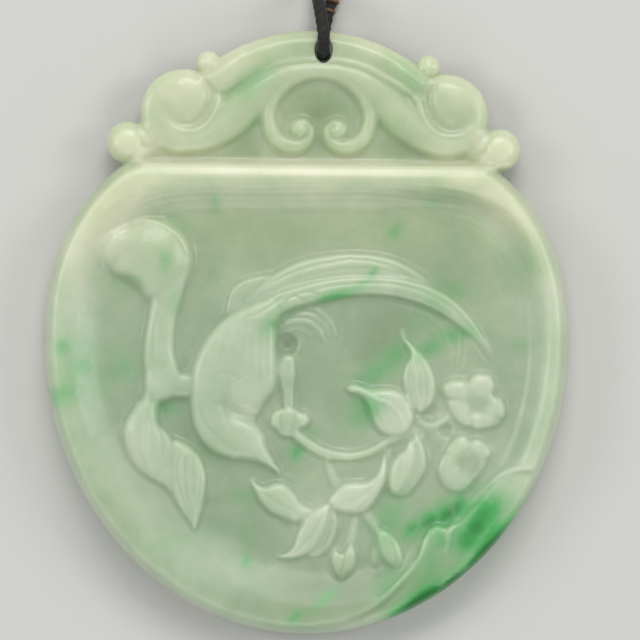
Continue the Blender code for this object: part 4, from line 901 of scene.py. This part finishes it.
# The cord: three black threads laid into a limp cord 1.3 mm thick, led through the crown's hole
# from the front, and down both sides of the arch to the table.
CORD_RADIUS = 0.65
CORD_TURN = 2.65           # bend radius where it passes through the hole
turn_y = HOLE_AT[1] - 0.35 + CORD_TURN
turn_z = 3.35              # half way through the crown
front = [(1.35, 51, 1.1), (-0.1, 48.2, 0.72), (-0.85, 44.2, 0.7), (-0.6, 40.2, 0.7), (0.35, 36.9, 0.9),
    (0.95, 34.5, 2.25), (1.3, 32.6, 4.6)]
arc = [(HOLE_AT[0], turn_y - CORD_TURN * math.sin(a), turn_z + CORD_TURN * math.cos(a))
    for a in np.radians(np.linspace(12, 168, 6))]
behind = [(2.15, 32.2, 0.72), (2.8, 34.4, 0.7), (3.75, 38.2, 0.7), (4.4, 42.4, 0.7), (4, 47, 0.7),
    (2.45, 51, 1.1)]
route = smooth_line(front + arc + behind, per=2)


def laid_thread(name, dye, path, radius, plies, pitch, sides=24, step=0.16, groove=0.74):
    """A tube of twisted plies swept along a path, in millimetres; each ring is one extruded circle."""
    fine = smooth_line(path, per=8)
    lengths = np.concatenate([[0], np.cumsum(np.linalg.norm(np.diff(fine, axis=0), axis=1))])
    count = int(lengths[-1] / step)
    along = np.linspace(0, lengths[-1], count)
    centre = np.column_stack([np.interp(along, lengths, fine[:, i]) for i in range(3)])
    heading = np.gradient(centre, axis=0)
    heading /= np.linalg.norm(heading, axis=1)[:, None]
    across = np.cross(heading[0], (0, 0, 1.0))
    across /= np.linalg.norm(across)
    bm = bmesh.new()
    bmesh.ops.create_circle(bm, cap_ends=True, radius=1, segments=sides)
    ring, edges = list(bm.verts), list(bm.edges)
    turn = np.linspace(0, 2 * math.pi, sides, endpoint=False)
    for i in range(count):
        if i:
            made = bmesh.ops.extrude_edge_only(bm, edges=edges)["geom"]
            edges = only(bmesh.types.BMEdge, made)
            fresh = set(only(bmesh.types.BMVert, made))
            ring = [next(w for w in (e.other_vert(v) for e in v.link_edges) if w in fresh) for v in ring]
        across = across - heading[i] * np.dot(across, heading[i])
        across /= np.linalg.norm(across)
        up = np.cross(heading[i], across)
        phase = 2 * math.pi * along[i] / pitch
        lobe = np.abs(np.cos(0.5 * plies * (turn - phase)))
        reach = radius * (groove + (1 - groove) * lobe**0.7)
        for v, angle, r in zip(ring, turn, reach):
            v.co = centre[i] + r * (math.cos(angle) * across + math.sin(angle) * up)
    bmesh.ops.contextual_create(bm, geom=edges)
    return finished(name, bm, dye)


def spun_thread(name, dark, light, roughness, sheen, grain):
    """Spun thread: fine streaks of lighter fibre over the dyed colour, with a soft sheen."""
    made = Finish(name)
    fibre = made.noise(grain, 6, 0.75)
    made.feed(made.shader.inputs["Base Color"], made.ramp(fibre, (0.42, dark), (0.68, light)))
    made.roughen(fibre, 0.6, 0.00008)
    set_inputs(made.shader, Roughness=roughness, Sheen_Weight=sheen, Sheen_Roughness=0.4)
    return made.material


black_thread = spun_thread("black_thread", (0.003, 0.003, 0.003), (0.02, 0.019, 0.018), 0.7, 0.08, 2600)
cord = laid_thread("pendant_cord", black_thread, route, CORD_RADIUS, 3, 2.6)
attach(cord, "root")
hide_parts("cord")

# The knot: the cord's two ends tied in a tight overhand knot, pressed flat on the table.
KNOT_AT = (1.9, 53.35, 1.25)
KNOT_RADII = (1.9, 2.1, 1.35)
KNOT_THREAD = 0.56         # radius of the cord where it is pulled tight
KNOT_REST = 0.58           # height of its middle where it lies on the table
turns = np.linspace(0, 2 * math.pi, 36, endpoint=False)
loop = np.column_stack([np.sin(turns) + 2 * np.sin(2 * turns), np.cos(turns) - 2 * np.cos(2 * turns),
    -np.sin(3 * turns)])
inner = (np.array(KNOT_RADII) - KNOT_REST) / np.abs(loop).max(0)
loop = loop * inner + np.array(KNOT_AT)
loop[:, 2] = np.maximum(loop[:, 2], KNOT_REST)
knot = laid_thread("cord_end_knot", black_thread, np.vstack([loop, loop[:1]]), KNOT_THREAD, 3, 2.4)
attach(knot, "root")
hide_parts("cord_knot")

# The binding: a short lashing of gold-brown silk round the strand behind, its ends worked to a point.
BINDING_TURNS = 7
BINDING_POINTS = 60
BINDING_END = 18           # the point of the strand, of 8 to each stretch, where the lashing stops
SILK_RADIUS = 0.17
gold_silk = spun_thread("gold_brown_silk", (0.05, 0.022, 0.006), (0.34, 0.17, 0.035), 0.5, 0.3, 1900)
strand = smooth_line(behind, per=8)
wound = []
for k in range(BINDING_POINTS):
    share = k / (BINDING_POINTS - 1)
    at = strand[0] + (strand[BINDING_END] - strand[0]) * share
    angle = share * 2 * math.pi * BINDING_TURNS
    radius = 0.66 + 0.12 * math.sin(math.pi * min(1, share * 1.6))
    wound.append((at[0] + radius * math.cos(angle), at[1], max(0.21, at[2] + radius * math.sin(angle))))
binding = laid_thread("silk_binding", gold_silk, wound, SILK_RADIUS, 2, 0.8, sides=10, step=0.08)
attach(binding, "root")


# The table and the light: a pale seamless top, one wide soft lamp towards the crown's side, weaker ones
# at the left, the right and the foot, and a small one that draws the polish's glints.
paper = bpy.data.materials.new("pale_paper")
paper.use_nodes = True
set_inputs(paper.node_tree.nodes["Principled BSDF"], Base_Color=(0.62, 0.62, 0.60, 1), Roughness=0.9)
top = bmesh.new()
bmesh.ops.create_grid(top, x_segments=1, y_segments=1, size=1500)
table = finished("table_top", top, paper)


def soft_lamp(name, at, size, watts, colour=(1, 1, 1)):
    """A round lamp turned towards the middle of the plaque."""
    lamp = bpy.data.lights.new(name, "AREA")
    lamp.shape, lamp.size, lamp.energy, lamp.color = "DISK", size, watts, colour
    holder = placed(name, lamp)
    holder.location = at
    holder.rotation_euler = (-Vector(at)).to_track_quat("-Z", "Y").to_euler()


soft_lamp("key", (0.06, 0.50, 0.58), 0.42, 2.25, (1.0, 0.985, 0.95))
soft_lamp("left", (-0.58, 0.15, 0.50), 0.35, 1.2)
soft_lamp("right", (0.58, 0.12, 0.50), 0.35, 1.2)
soft_lamp("front", (0.0, -0.58, 0.50), 0.35, 0.7)
soft_lamp("glint", (-0.14, 0.30, 0.55), 0.05, 0.15)
world = bpy.data.worlds.new("room")
world.use_nodes = True
set_inputs(world.node_tree.nodes["Background"], Color=(1.0, 1.0, 1.0, 1), Strength=0.41)
scene.world = world
scene.view_settings.view_transform = "Standard"
